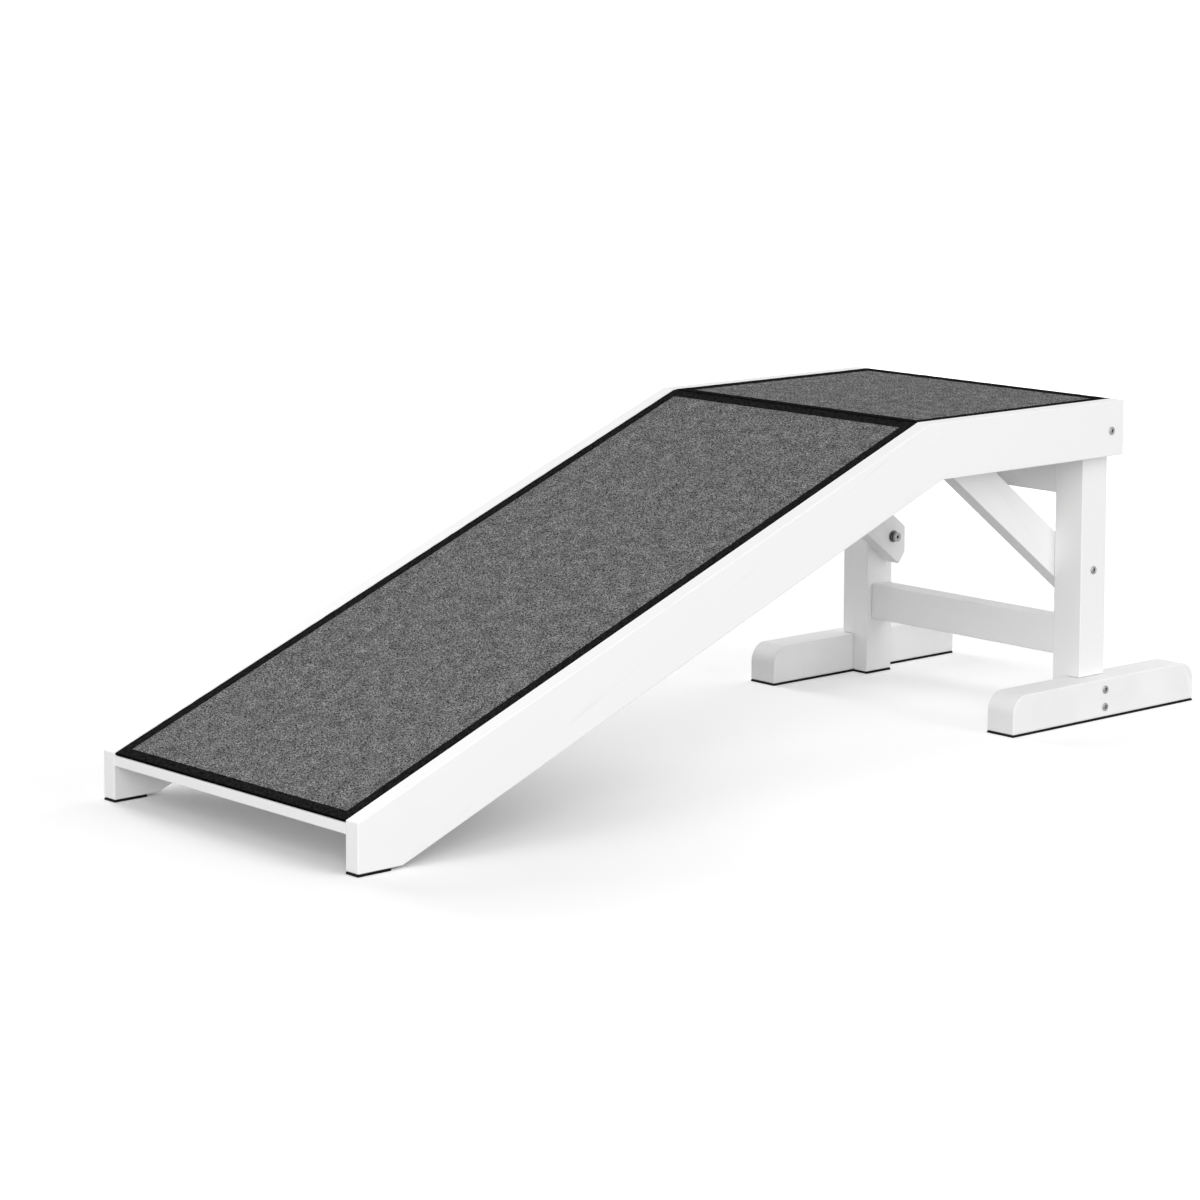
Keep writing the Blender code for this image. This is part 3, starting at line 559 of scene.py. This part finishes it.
# One fibre to a cell: the cell's own random number turns it, and the mask falls off across and along it.
fibre_space = scaled(fibre_group, fibre_in["Place"], fibre_in["Scale"])
fibre_cell = add_node(
    fibre_group, "TexVoronoi", {"voronoi_dimensions": "2D"}, {"Vector": fibre_space, "Scale": 1.0}
)
fibre_offset = vector_of(fibre_group, "SUBTRACT", fibre_space, fibre_cell.outputs["Position"])
fibre_random = add_node(fibre_group, "SeparateColor", None, {0: fibre_cell.outputs["Color"]})
fibre_angle = number_of(fibre_group, "MULTIPLY", fibre_random.outputs[0], 2 * math.pi)
fibre_turned = add_node(
    fibre_group, "VectorRotate", {"rotation_type": "Z_AXIS"}, {"Vector": fibre_offset, "Angle": fibre_angle}
)
fibre_apart = add_node(fibre_group, "SeparateXYZ", None, {0: fibre_turned.outputs[0]})
fibre_fades = []
for axis, limit in enumerate(("Half Length", "Half Width")):
    off_middle = number_of(fibre_group, "ABSOLUTE", fibre_apart.outputs[axis])
    share = number_of(fibre_group, "DIVIDE", off_middle, fibre_in[limit])
    fibre_fades.append(carried(fibre_group, share, 0.55, 1.1, 1.0, 0.0, "SMOOTHSTEP"))
fibre_group.links.new(number_of(fibre_group, "MULTIPLY", *fibre_fades), fibre_out["Mask"])
fibre_group.links.new(fibre_random.outputs[1], fibre_out["Pick"])

felt, felt_tree, felt_shader = new_material("grey_felt", Roughness=0.95, Specular_IOR_Level=0.04)
felt_flat = add_node(felt_tree, "UVMap", {"uv_map": "flat"}).outputs[0]
felt_cloud = noise(felt_tree, felt_flat, 60.0, 5.0, 0.65)
felt_speck = noise(felt_tree, felt_flat, 400.0, 3.0, 0.75)
felt_value = carried(felt_tree, felt_speck, 0.38, 0.64, 0.0, 0.24)
felt_height = felt_speck
# Six layers of fibres, dark and light by turns: cells to a metre, half width in cells, shade and cover.
for number, (scale, half_width, shade, strength) in enumerate(
    (
        (260.0, 0.20, 0.008, 0.95),
        (300.0, 0.18, 0.520, 0.92),
        (380.0, 0.22, 0.010, 0.90),
        (420.0, 0.20, 0.450, 0.88),
        (340.0, 0.20, 0.012, 0.80),
        (500.0, 0.20, 0.300, 0.80),
    )
):
    shifted = vector_of(felt_tree, "ADD", felt_flat, (0.137 * number, 0.211 * number, 0.0))
    values = {"Place": shifted, "Scale": scale, "Half Length": 0.66, "Half Width": half_width}
    fibres = add_node(felt_tree, "Group", {"node_tree": fibre_group}, values).outputs
    picked = carried(felt_tree, fibres["Pick"], 0.0, 1.0, 0.2 * strength, strength)
    cover = number_of(felt_tree, "MULTIPLY", fibres["Mask"], picked)
    layered = add_node(felt_tree, "Mix", {"data_type": "FLOAT"}, {0: cover, 2: felt_value, 3: shade})
    felt_value = layered.outputs[0]
    felt_height = number_of(felt_tree, "MAXIMUM", felt_height, fibres["Mask"])
felt_clouded = carried(felt_tree, felt_cloud, 0.30, 0.70, 0.55, 1.14)
felt_shade = number_of(felt_tree, "MULTIPLY", felt_value, felt_clouded)
felt_tint = between(felt_tree, felt_cloud, (0.985, 0.995, 1.0, 1.0), (1.0, 0.995, 0.985, 1.0))
finish(felt_tree, felt_shader, scaled(felt_tree, felt_tint, felt_shade), felt_height, 0.5, 0.0004)

tape_width = 0.0125
felt_top_depth = 0.0005
felt_bottom_depth = 0.0027
pressed_depth = 0.0009
underside_rise = 0.0006
swell_height = 0.00003
nap_height = 0.00026
platform_felt_start = 0.0006
slope_felt_length = slope_length - felt_bottom_depth * mitre - seat_gap / 2
platform_felt_length = platform_length - platform_felt_start


def smooth_step(value):
    """0 below 0, 1 above 1, and 3v^2 - 2v^3 between."""
    value = np.clip(value, 0.0, 1.0)
    return value * value * (3 - 2 * value)


def laid_on(deck_point, along, across, depth):
    """Grid points along and across the slope or the platform, this deep under its top edges."""
    x, z = deck_point(along, depth)
    return np.stack(np.broadcast_arrays(x, across, z), axis=-1)


def felt_carpet(name, deck_point, start, length, run_on, sunk):
    """A carpet: a fine top grid whose depth follows the distance from the edge, over one flat underside.

    The top lies at its full height in the middle and comes down by smooth_step to the pressed height
    under the tape. Slow swells of a tenth of a millimetre and a random nap of tufts lie over it.
    sunk is how much lower the middle lies than on a thick felt, so that the tape stands proud of it.
    """
    margin, pitch = 0.0008, 0.0020
    along = np.linspace(margin, length - margin, int(length / pitch))
    across = np.linspace(-deck_half + margin, deck_half - margin, int(2 * deck_half / pitch))
    along, across = np.meshgrid(along, across, indexing="ij")
    edge = np.minimum(np.minimum(along, length - along), deck_half - np.abs(across))
    lift = smooth_step((edge - tape_width + 0.0012) / 0.0030)
    chance = np.random.default_rng(7)
    waves = chance.uniform((60, 60, 0), (210, 210, 6.28), (6, 3)) * chance.choice([-1, 1], (6, 3))
    swell = sum(np.sin(along * wave[0] + across * wave[1] + wave[2]) for wave in waves)
    nap = chance.normal(0.0, nap_height, along.shape)
    top = felt_top_depth + sunk + (1 - lift) * (pressed_depth - sunk) + lift * (swell_height * swell + nap)
    upper = laid_on(deck_point, along + start, across, top).reshape(-1, 3)
    rows, columns = along.shape
    index = np.arange(rows * columns).reshape(rows, columns)
    quads = np.stack((index[:-1, :-1], index[1:, :-1], index[1:, 1:], index[:-1, 1:]), axis=-1).reshape(-1, 4)
    rim = np.concatenate((index[0, :-1], index[:-1, -1], index[-1, :0:-1], index[:0:-1, 0]))
    underside = np.full(len(rim), felt_bottom_depth - underside_rise)
    lower = laid_on(deck_point, along.ravel()[rim] + start, across.ravel()[rim], underside)
    under = rows * columns + np.arange(len(rim))
    walls = np.stack((rim, np.roll(rim, -1), np.roll(under, -1), under), axis=-1)
    mesh = bpy.data.meshes.new(name)
    faces = quads.tolist() + walls.tolist() + [under[::-1].tolist()]
    mesh.from_pydata(np.concatenate((upper, lower)).tolist(), [], faces)
    flat = np.stack((along.ravel() + run_on, across.ravel()), axis=-1)
    lay_flat(mesh, np.concatenate((flat, flat[rim])))
    face_outwards(mesh)
    mesh.set_sharp_from_angle(angle=math.radians(50))
    return mesh


carpet_lays = {
    "slope": (slope_point, 0.0, slope_felt_length),
    "platform": (platform_point, platform_felt_start, platform_felt_length),
}
for name, run_on, sunk in (("slope", 0.0, 0.0), ("platform", 0.9, 0.0007)):
    mesh = felt_carpet(f"{name}_felt", *carpet_lays[name], run_on, sunk)
    put(mesh, felt, "ramp", f"{name}_carpet")


# Edge tape: a black woven tape, folded over the carpet's edge all the way round and sewn, so that it
# shows 12 mm wide on top and has a rounded outer edge. Its ribs run across its length.

tape, tape_tree, tape_shader = new_material("black_tape", Roughness=0.85, Specular_IOR_Level=0.0)
tape_flat = add_node(tape_tree, "UVMap", {"uv_map": "flat"}).outputs[0]
tape_apart = add_node(tape_tree, "SeparateXYZ", None, {0: tape_flat}).outputs
tape_waves = []
for axis, pitch, phase in ((0, 0.0011, 0.0), (1, 0.0007, 1.0)):
    turned = number_of(tape_tree, "MULTIPLY_ADD", tape_apart[axis], 2 * math.pi / pitch, phase)
    tape_waves.append(number_of(tape_tree, "SINE", turned))
tape_ribs = carried(tape_tree, number_of(tape_tree, "MULTIPLY", *tape_waves), -1.0, 1.0)
tape_lint = carried(tape_tree, noise(tape_tree, tape_flat, 900.0, 3.0), 0.4, 0.8)
tape_height = number_of(tape_tree, "MULTIPLY_ADD", tape_lint, 0.5, tape_ribs)
tape_worn = carried(tape_tree, noise(tape_tree, tape_flat, 260.0, 2.0), 0.35, 0.65, 0.2, 1.6)
tape_level = carried(tape_tree, number_of(tape_tree, "MULTIPLY", tape_height, tape_worn), 0.0, 1.3)
tape_tone = between(tape_tree, tape_level, grey(0.004), grey(0.028))
# The second flat coordinate runs round the fold. Up to 14 mm from the hidden lip the fold is
# painted dark as shade.
tape_fold_painted_shade = carried(tape_tree, tape_apart[1], 0.0140, 0.0162, 0.2, 1.0, "SMOOTHSTEP")
finish(tape_tree, tape_shader, scaled(tape_tree, tape_tone, tape_fold_painted_shade), tape_height, 0.6, 0.0003)


def folded_tape_profile():
    """The folded tape's own section as a closed loop of (distance in from the edge, height over the deck).

    The outside runs from the lower lip round the fold, a squarish half round whose cosine and sine
    are raised to the power 0.6, to the upper lip; the inside runs back at one tape thickness.
    """
    height, thick, lip = 0.0026, 0.0006, 0.00022
    turn = np.linspace(-math.pi / 2, -3 * math.pi / 2, 11)
    fold = np.stack((np.cos(turn), np.sin(turn)), axis=1)
    fold = np.sign(fold) * np.abs(fold) ** 0.6
    outer_radius = height / 2
    inner_radius = outer_radius - thick
    flaps = np.linspace(tape_width - lip, outer_radius + 0.0006, 5)
    lips = np.linspace(-math.pi / 2, math.pi / 2, 5)[1:-1]
    lip_round = np.stack((lip * np.cos(lips[::-1]), thick / 2 * np.sin(lips[::-1])), axis=1)
    return np.concatenate(
        (
            np.stack((flaps, np.zeros(5)), axis=1),
            outer_radius + outer_radius * fold,
            np.stack((flaps[::-1], np.full(5, height)), axis=1),
            np.array((tape_width - lip, height - thick / 2)) + lip_round,
            np.stack((flaps, np.full(5, height - thick)), axis=1),
            outer_radius + inner_radius * fold[::-1],
            np.stack((flaps[::-1], np.full(5, thick)), axis=1),
            np.array((tape_width - lip, thick / 2)) + lip_round,
        )
    )


def folded_tape(name, deck_point, start, length):
    """The tape's section carried round the carpet's rim.

    At each distance in from the edge, the path is the rim's rectangle drawn in by that much, so the
    corners mitre. A small square at each outer corner is drawn in to a quarter circle.
    """
    section = folded_tape_profile()
    inward, height = section[:, 0], section[:, 1]
    side_steps = [int(length / 0.004), int(2 * deck_half / 0.004)] * 2
    share = [np.linspace(-1, 1, steps, endpoint=False) for steps in side_steps]
    along_unit = np.concatenate((share[0], np.ones(side_steps[1]), -share[2], -np.ones(side_steps[3])))
    across_unit = np.concatenate((-np.ones(side_steps[0]), share[1], np.ones(side_steps[2]), -share[3]))
    along = along_unit[None] * (length / 2 - inward[:, None])
    across = across_unit[None] * (deck_half - inward[:, None])
    corner = 0.0016
    off_along = np.maximum(np.abs(along) - (length / 2 - corner), 0.0)
    off_across = np.maximum(np.abs(across) - (deck_half - corner), 0.0)
    square = np.maximum(off_along, off_across)
    disc = np.hypot(off_along, off_across)
    draw = np.where(disc > 0, square / np.maximum(disc, 1e-9), 1.0)
    along = np.sign(along) * (np.abs(along) - off_along * (1 - draw))
    across = np.sign(across) * (np.abs(across) - off_across * (1 - draw))
    steps_round = np.hypot(np.diff(along_unit) * length / 2, np.diff(across_unit) * deck_half)
    run = np.concatenate(([0.0], np.cumsum(steps_round)))
    chance = np.random.default_rng(len(name))
    waves = chance.uniform((40, 0), (300, 6.28), (7, 2))
    ripple = sum(np.sin(run * wave + phase) for wave, phase in waves) * 0.00003
    depth = deck_recess - 0.0002 - height[:, None] - ripple[None] * (height[:, None] > 0.0013)
    grid = laid_on(deck_point, along + length / 2 + start, across, depth)
    around = np.concatenate(([0.0], np.cumsum(np.linalg.norm(np.diff(section, axis=0), axis=1))))
    flat = np.stack(np.broadcast_arrays(run[None], around[:, None]), axis=-1)
    return mesh_from_grid(name, grid, round_columns=True, flat=flat)


for name, carpet_lay in carpet_lays.items():
    binding = put(folded_tape(f"{name}_tape", *carpet_lay), tape, "ramp", f"{name}_binding")


# Posts: two 40 x 38 mm legs that turn on the pivot bolts. The outer half of each is cut away at the
# bottom to take its foot, and the front of its top is rounded about the pivot to clear the deck.

post_half = 0.020
post_inner = 0.140
post_outer = 0.178
pivot_drop = 0.032
fold_limit = math.radians(50)
pivot_x = panel_low_end + panel_length - post_half
pivot_height = platform_top - pivot_drop
post_top = platform_top - deck_bottom - seat_gap
foot_inner = 0.161
foot_outer = 0.198
foot_top = 0.0438
paint_along_z = satin_paint("paint_along_z", (0.0, math.radians(-90), 0.0))


def post_mesh(name, sign):
    """A post: its end view, an L at the foot, carried from front to rear in rings.

    Above the pivot each ring is squeezed down to the crown's height, a circle about the pivot and,
    past 50 degrees, the line that touches it there.
    """
    corners = [
        (post_inner, panel_bottom),
        (foot_inner - seat_gap, panel_bottom),
        (foot_inner - seat_gap, foot_top + seat_gap),
        (post_outer, foot_top + seat_gap),
        (post_outer, post_top),
        (post_inner, post_top),
    ]
    if sign < 0:
        corners = [(-y, z) for y, z in reversed(corners)]
    points, normals, on_arc = eased_outline(corners, 0.0014)
    inset, ring_x, on_edge = eased_section(pivot_x - post_half, pivot_x + post_half, 0.0010)
    middle, added = len(ring_x) // 2, 12
    more = np.linspace(ring_x[middle - 1], ring_x[middle], added + 2)[1:-1]
    ring_x = np.insert(ring_x, middle, more)
    inset = np.insert(inset, middle, np.zeros(added))
    on_edge = np.insert(on_edge, middle, np.zeros(added))
    outline = points[None] - inset[:, None, None] * normals[None]
    radius = post_top - pivot_height
    ahead_of_pivot = np.maximum(pivot_x - ring_x, 0.0)
    round_top = np.sqrt(np.maximum(radius**2 - ahead_of_pivot**2, 0.0))
    straight_top = (radius - ahead_of_pivot * math.sin(fold_limit)) / math.cos(fold_limit)
    crown = np.where(ahead_of_pivot < radius * math.sin(fold_limit), round_top, straight_top) / radius
    height = outline[..., 1]
    over = np.maximum(height - pivot_height, 0.0)
    height = height - over + over * crown[:, None]
    grid = np.stack(np.broadcast_arrays(ring_x[:, None], outline[..., 0], height), axis=-1)
    return mesh_from_grid(name, grid, marks={"arris": np.maximum(on_arc[None], on_edge[:, None])})


for side, sign in sides:
    put(post_mesh(f"leg_post_{side}", sign), paint_along_z, "leg_frame", f"post_{side}")


# Rails: the top rail and the stretcher, 26 x 40 mm, glued and dowelled between the posts. The dowels
# are 8 mm beech, hidden in the joints.

rail_thickness = 0.026
rail_height = 0.040
rail_half = post_inner - seat_gap
rail_front, rail_rear = pivot_x - rail_thickness / 2, pivot_x + rail_thickness / 2
beech, beech_tree, beech_shader = new_material("bare_beech")
beech_place = add_node(beech_tree, "TexCoord").outputs["Object"]
beech_along = add_node(beech_tree, "Mapping", None, {"Vector": beech_place, "Scale": (900.0, 60.0, 900.0)})
beech_grain = noise(beech_tree, beech_along.outputs[0], 1.0, 5.0)
beech_tone = between(beech_tree, beech_grain, (0.68, 0.50, 0.31, 1.0), (0.48, 0.32, 0.18, 1.0))
beech_dull = carried(beech_tree, beech_grain, 0.0, 1.0, 0.5, 0.75)
finish(beech_tree, beech_shader, beech_tone, beech_grain, 0.4, 0.0002, beech_dull)
for name, node, bottom in (("upper_rail", "top_rail", 0.241), ("lower_rail", "stretcher", 0.064)):
    rail = board(name, oblong(rail_front, rail_rear, bottom, bottom + rail_height), -rail_half, rail_half)
    put(rail, paint_along_y, "leg_frame", node)
    for end in ("upper_left", "upper_right", "lower_left", "lower_right"):
        hidden_node(f"{node}_dowel_{end}", beech)


# Feet: two bars, 37 mm wide, half under and half outside the posts, with their upper corners rounded
# off. Each has a black rubber pad under it, and so has the half of the post beside it.

foot_half_length = 0.14775
foot_outline = oblong(pivot_x - foot_half_length, pivot_x + foot_half_length, panel_bottom, foot_top)
foot_corners = (0.0014, 0.0014, 0.020, 0.020)
for side, sign in sides:
    low, high = sorted((sign * foot_inner, sign * foot_outer))
    foot = board(f"foot_bar_{side}", foot_outline, low, high, foot_corners, rounding=0.0011, steps=12)
    put(foot, paint_along_x, "leg_frame", f"foot_{side}")
    rubber_strip(f"foot_strip_{side}", f"foot_pad_{side}", "leg_frame")
    rubber_strip(f"post_strip_{side}", f"post_pad_{side}", "leg_frame")


# Braces: two 40 x 20 mm struts on the posts' inner faces, from a bolt in each post up and forward to
# the block behind each side panel. Their lower ends are trimmed plumb with the posts' rear faces.

brace_inner = 0.1197
brace_outer = 0.1397
brace_half = 0.020
brace_bolt_height = 0.160
brace_reach = 0.1806
brace_top_drop = 0.0485
lower_overhang = 0.028
upper_overhang = 0.020
brace_rise = platform_top - brace_top_drop - brace_bolt_height
brace_angle = math.atan2(brace_rise, brace_reach)
brace_span = math.hypot(brace_reach, brace_rise)


def brace_point(along, across):
    """A point of the brace, from its lower bolt: along it, up towards the crease, and across it."""
    return (
        pivot_x - along * math.cos(brace_angle) + across * math.sin(brace_angle),
        brace_bolt_height + along * math.sin(brace_angle) + across * math.cos(brace_angle),
    )


trim_across = (post_half - lower_overhang * math.cos(brace_angle)) / math.sin(brace_angle)
trim_along = (brace_half * math.sin(brace_angle) - post_half) / math.cos(brace_angle)
brace_outline = [
    brace_point(brace_span + upper_overhang, -brace_half),
    brace_point(-lower_overhang, -brace_half),
    brace_point(-lower_overhang, trim_across),
    brace_point(trim_along, brace_half),
    brace_point(brace_span + upper_overhang, brace_half),
]
paint_along_brace = satin_paint("paint_along_brace", (0.0, brace_angle, 0.0))
for side, sign in sides:
    brace = board(f"brace_strut_{side}", brace_outline, *sorted((sign * brace_inner, sign * brace_outer)))
    put(brace, paint_along_brace, f"brace_{side}", f"brace_{side}")


# Fasteners: zinc-plated steel bolts and screws with low domed heads and hexagon sockets, plain
# washers, and sleeve nuts. Each is turned on a lathe, so its marks run round it.

steel, steel_tree, steel_shader = new_material("zinc_plated_steel", Metallic=1.0)
steel_flat = add_node(steel_tree, "UVMap", {"uv_map": "flat"}).outputs[0]
steel_around = add_node(steel_tree, "Mapping", None, {"Vector": steel_flat, "Scale": (3.0, 2600.0, 1.0)})
steel_rings = noise(steel_tree, steel_around.outputs[0], 1.0, 3.0, dimensions="2D")
steel_place = add_node(steel_tree, "TexCoord").outputs["Object"]
steel_stain = noise(steel_tree, steel_place, 420.0, 4.0)
steel_tone = between(steel_tree, steel_stain, (0.20, 0.20, 0.205, 1.0), (0.42, 0.42, 0.415, 1.0))
# Painted shade: a mark carried by the turned profiles darkens the steel towards near black in the socket
# floors, under the heads, in the nuts' grooves and over the rings.
steel_painted_shade_mask = add_node(steel_tree, "Attribute", {"attribute_name": "painted_shade"}).outputs["Fac"]
steel_with_painted_shade = between(steel_tree, steel_painted_shade_mask, steel_tone, (0.020, 0.020, 0.022, 1.0))
steel_dull = carried(steel_tree, steel_rings, 0.0, 1.0, 0.26, 0.46)
finish(steel_tree, steel_shader, steel_with_painted_shade, steel_rings, 0.3, 0.00008, steel_dull)

head_radius = 0.0044
head_height = 0.0012
socket_radius = 0.0021
socket_depth = 0.0010
shank_radius = 0.003
bore_radius = 0.0033
washer_radius = 0.0067
washer_thickness = 0.0015
spacer_radius = 0.009
spacer_width = 0.0034
nut_radius = 0.0054
nut_height = 0.0056
nut_cap = 0.0026
bolt_end_gap = 0.0006
brace_top_bolt_length = 0.020
foot_screw_length = 0.037 + seat_gap + 0.0125
lower_screw_height = 0.0130
upper_screw_height = 0.0320


def turned_steel(name, node, profile, place, direction, body):
    """A fastener: a profile of (radius, height, hexagon, recess) turned about an axis along Y, from place.

    Where hexagon is 1 the ring is a regular hexagon, cos 30 / cos(angle from the nearest flat's
    middle) times its radius, where it is 0 a circle, and between them in proportion. The fourth
    number is painted shade, from 0 to 1: it darkens the steel towards near black. The last two are
    left out where both are 0. A profile that starts off the axis is a closed loop.
    """
    profile = np.array([(*point, 0.0, 0.0)[:4] for point in profile])
    turn = np.linspace(0, 2 * math.pi, 72, endpoint=False)
    flat_ring = math.cos(math.pi / 6) / np.cos(np.mod(turn, math.pi / 3) - math.pi / 6)
    radius = profile[:, 0:1] * (1 + profile[:, 2:3] * (flat_ring[None] - 1))
    x = place[0] + radius * np.cos(turn)[None]
    z = place[2] + radius * np.sin(turn)[None]
    y = place[1] + direction * profile[:, 1:2]
    grid = np.stack(np.broadcast_arrays(x, y, z), axis=-1)
    length = np.concatenate(([0.0], np.cumsum(np.hypot(np.diff(profile[:, 0]), np.diff(profile[:, 1])))))
    flat = np.stack(np.broadcast_arrays(turn[None] / (2 * math.pi), length[:, None]), axis=-1)
    ring = profile[0, 0] > shank_radius
    mesh = mesh_from_grid(name, grid, round_columns=ring, marks={"painted_shade": profile[:, 3:4]}, flat=flat)
    mesh.set_sharp_from_angle(angle=math.radians(38))
    return put(mesh, steel, body, node)


def rounded_corner(centre, radius, start, end, steps=5):
    """Points of a small arc in the profile."""
    angle = np.radians(np.linspace(start, end, steps))
    return [(centre[0] + radius * math.cos(a), centre[1] + radius * math.sin(a)) for a in angle]


def socket_profile(top):
    """A key socket from the middle of its conical floor, up six flat walls, to a small round countersink."""
    floor, rim = top - socket_depth, 0.0024
    # The socket's floor is painted dark as shade, fading out at the foot of its walls.
    return [
        (0.0001, floor - 0.0003, 0.0, 1.0),
        (socket_radius * 0.55, floor - 0.0001, 0.4, 1.0),
        (socket_radius * 0.97, floor, 1.0, 1.0),
        (socket_radius, floor + 0.00005, 1.0, 0.1),
        (socket_radius, top - 0.00020, 1.0, 0.0),
        (socket_radius * 1.04, top - 0.00012, 0.8, 0.0),
        (rim, top - 0.00002),
        (rim + 0.00008, top),
    ]


def bolt_profile(length):
    """A low domed head with a socket, a bearing face and a chamfered shank."""
    # The underside of the head, where it bears on the board, is painted dark as shade.
    edge = 0.00030
    return [
        *socket_profile(head_height),
        (head_radius * 0.66, head_height - 0.00002),
        (head_radius * 0.78, head_height - 0.00008),
        (head_radius * 0.88, head_height - 0.00022),
        *rounded_corner((head_radius - edge, 0.0006), edge, 55, -60, 6),
        (head_radius * 0.95, 0.00030, 0.0, 0.5),
        (head_radius * 0.93, 0.00030, 0.0, 1.0),
        (shank_radius + 0.0002, 0.00030, 0.0, 1.0),
        (shank_radius, -0.00015),
        (shank_radius, -length + 0.0008),
        (shank_radius - 0.0006, -length),
        (0.0001, -length),
    ]


def nut_profile():
    """A sleeve nut: a chamfered round body with a groove at its foot, a socket outside and a bore inside."""
    # The groove at the foot of the body is painted dark as shade.
    top = nut_height
    bore = top - nut_cap
    return [
        *socket_profile(top),
        (nut_radius * 0.86, top),
        *rounded_corner((nut_radius - 0.0004, top - 0.0004), 0.0004, 80, 10),
        (nut_radius, top - 0.0008),
        (nut_radius, 0.0026),
        (nut_radius - 0.0002, 0.0024, 0.0, 0.6),
        (nut_radius - 0.0010, 0.0021, 0.0, 1.0),
        (nut_radius - 0.0010, 0.0008, 0.0, 1.0),
        (nut_radius - 0.0002, 0.0005, 0.0, 0.8),
        (nut_radius, 0.0003, 0.0, 0.3),
        (nut_radius - 0.0002, 0.0),
        (bore_radius + 0.0002, 0.0),
        (bore_radius, 0.0003),
        (bore_radius, bore),
        (0.0001, bore + 0.0002),
    ]


def ring_profile(outer, thickness):
    """A flat ring with eased edges, as a closed loop."""
    edge = min(0.0003, thickness / 3)
    ring = [
        *rounded_corner((outer - edge, thickness - edge), edge, 90, 0, 4),
        *rounded_corner((outer - edge, edge), edge, 0, -90, 4),
        *rounded_corner((bore_radius + edge, edge), edge, -90, -180, 4),
        *rounded_corner((bore_radius + edge, thickness - edge), edge, 180, 90, 4),
    ]
    # The whole ring is painted 0.6 of the way dark, as shade where it lies between two parts.
    return [(*point, 0.0, 0.6) for point in ring]


for side, sign in sides:
    for name, height, outer_face, inner_face, body in (
        ("pivot", pivot_height, panel_outer, post_inner, "ramp"),
        ("brace", brace_bolt_height, post_outer, brace_inner, "leg_frame"),
    ):
        washer_face = inner_face - seat_gap
        nut_face = washer_face - washer_thickness - seat_gap
        bolt_length = outer_face - nut_face + nut_height - nut_cap - bolt_end_gap
        for part, node, profile, face, direction in (
            ("screw", "bolt", bolt_profile(bolt_length), outer_face, sign),
            ("ring", "washer", ring_profile(washer_radius, washer_thickness), washer_face, -sign),
            ("sleeve", "nut", nut_profile(), nut_face, -sign),
        ):
            place = (pivot_x, sign * face, height)
            turned_steel(f"{name}_{part}_{side}", f"{name}_{node}_{side}", profile, place, direction, body)
    spacer = ring_profile(spacer_radius, spacer_width)
    place = (pivot_x, sign * (panel_inner - seat_gap), pivot_height)
    turned_steel(f"pivot_distance_ring_{side}", f"pivot_spacer_{side}", spacer, place, -sign, "ramp")
    upper_x, upper_z = brace_point(brace_span, 0.0)
    bolt = bolt_profile(brace_top_bolt_length)
    place = (upper_x, sign * brace_inner, upper_z)
    turned_steel(f"brace_upper_screw_{side}", f"brace_top_bolt_{side}", bolt, place, -sign, f"brace_{side}")
    for end, height in (f"{side}_1", lower_screw_height), (f"{side}_2", upper_screw_height):
        screw, place = bolt_profile(foot_screw_length), (pivot_x, sign * foot_outer, height)
        turned_steel(f"foot_bolt_{end}", f"foot_screw_{end}", screw, place, sign, "leg_frame")
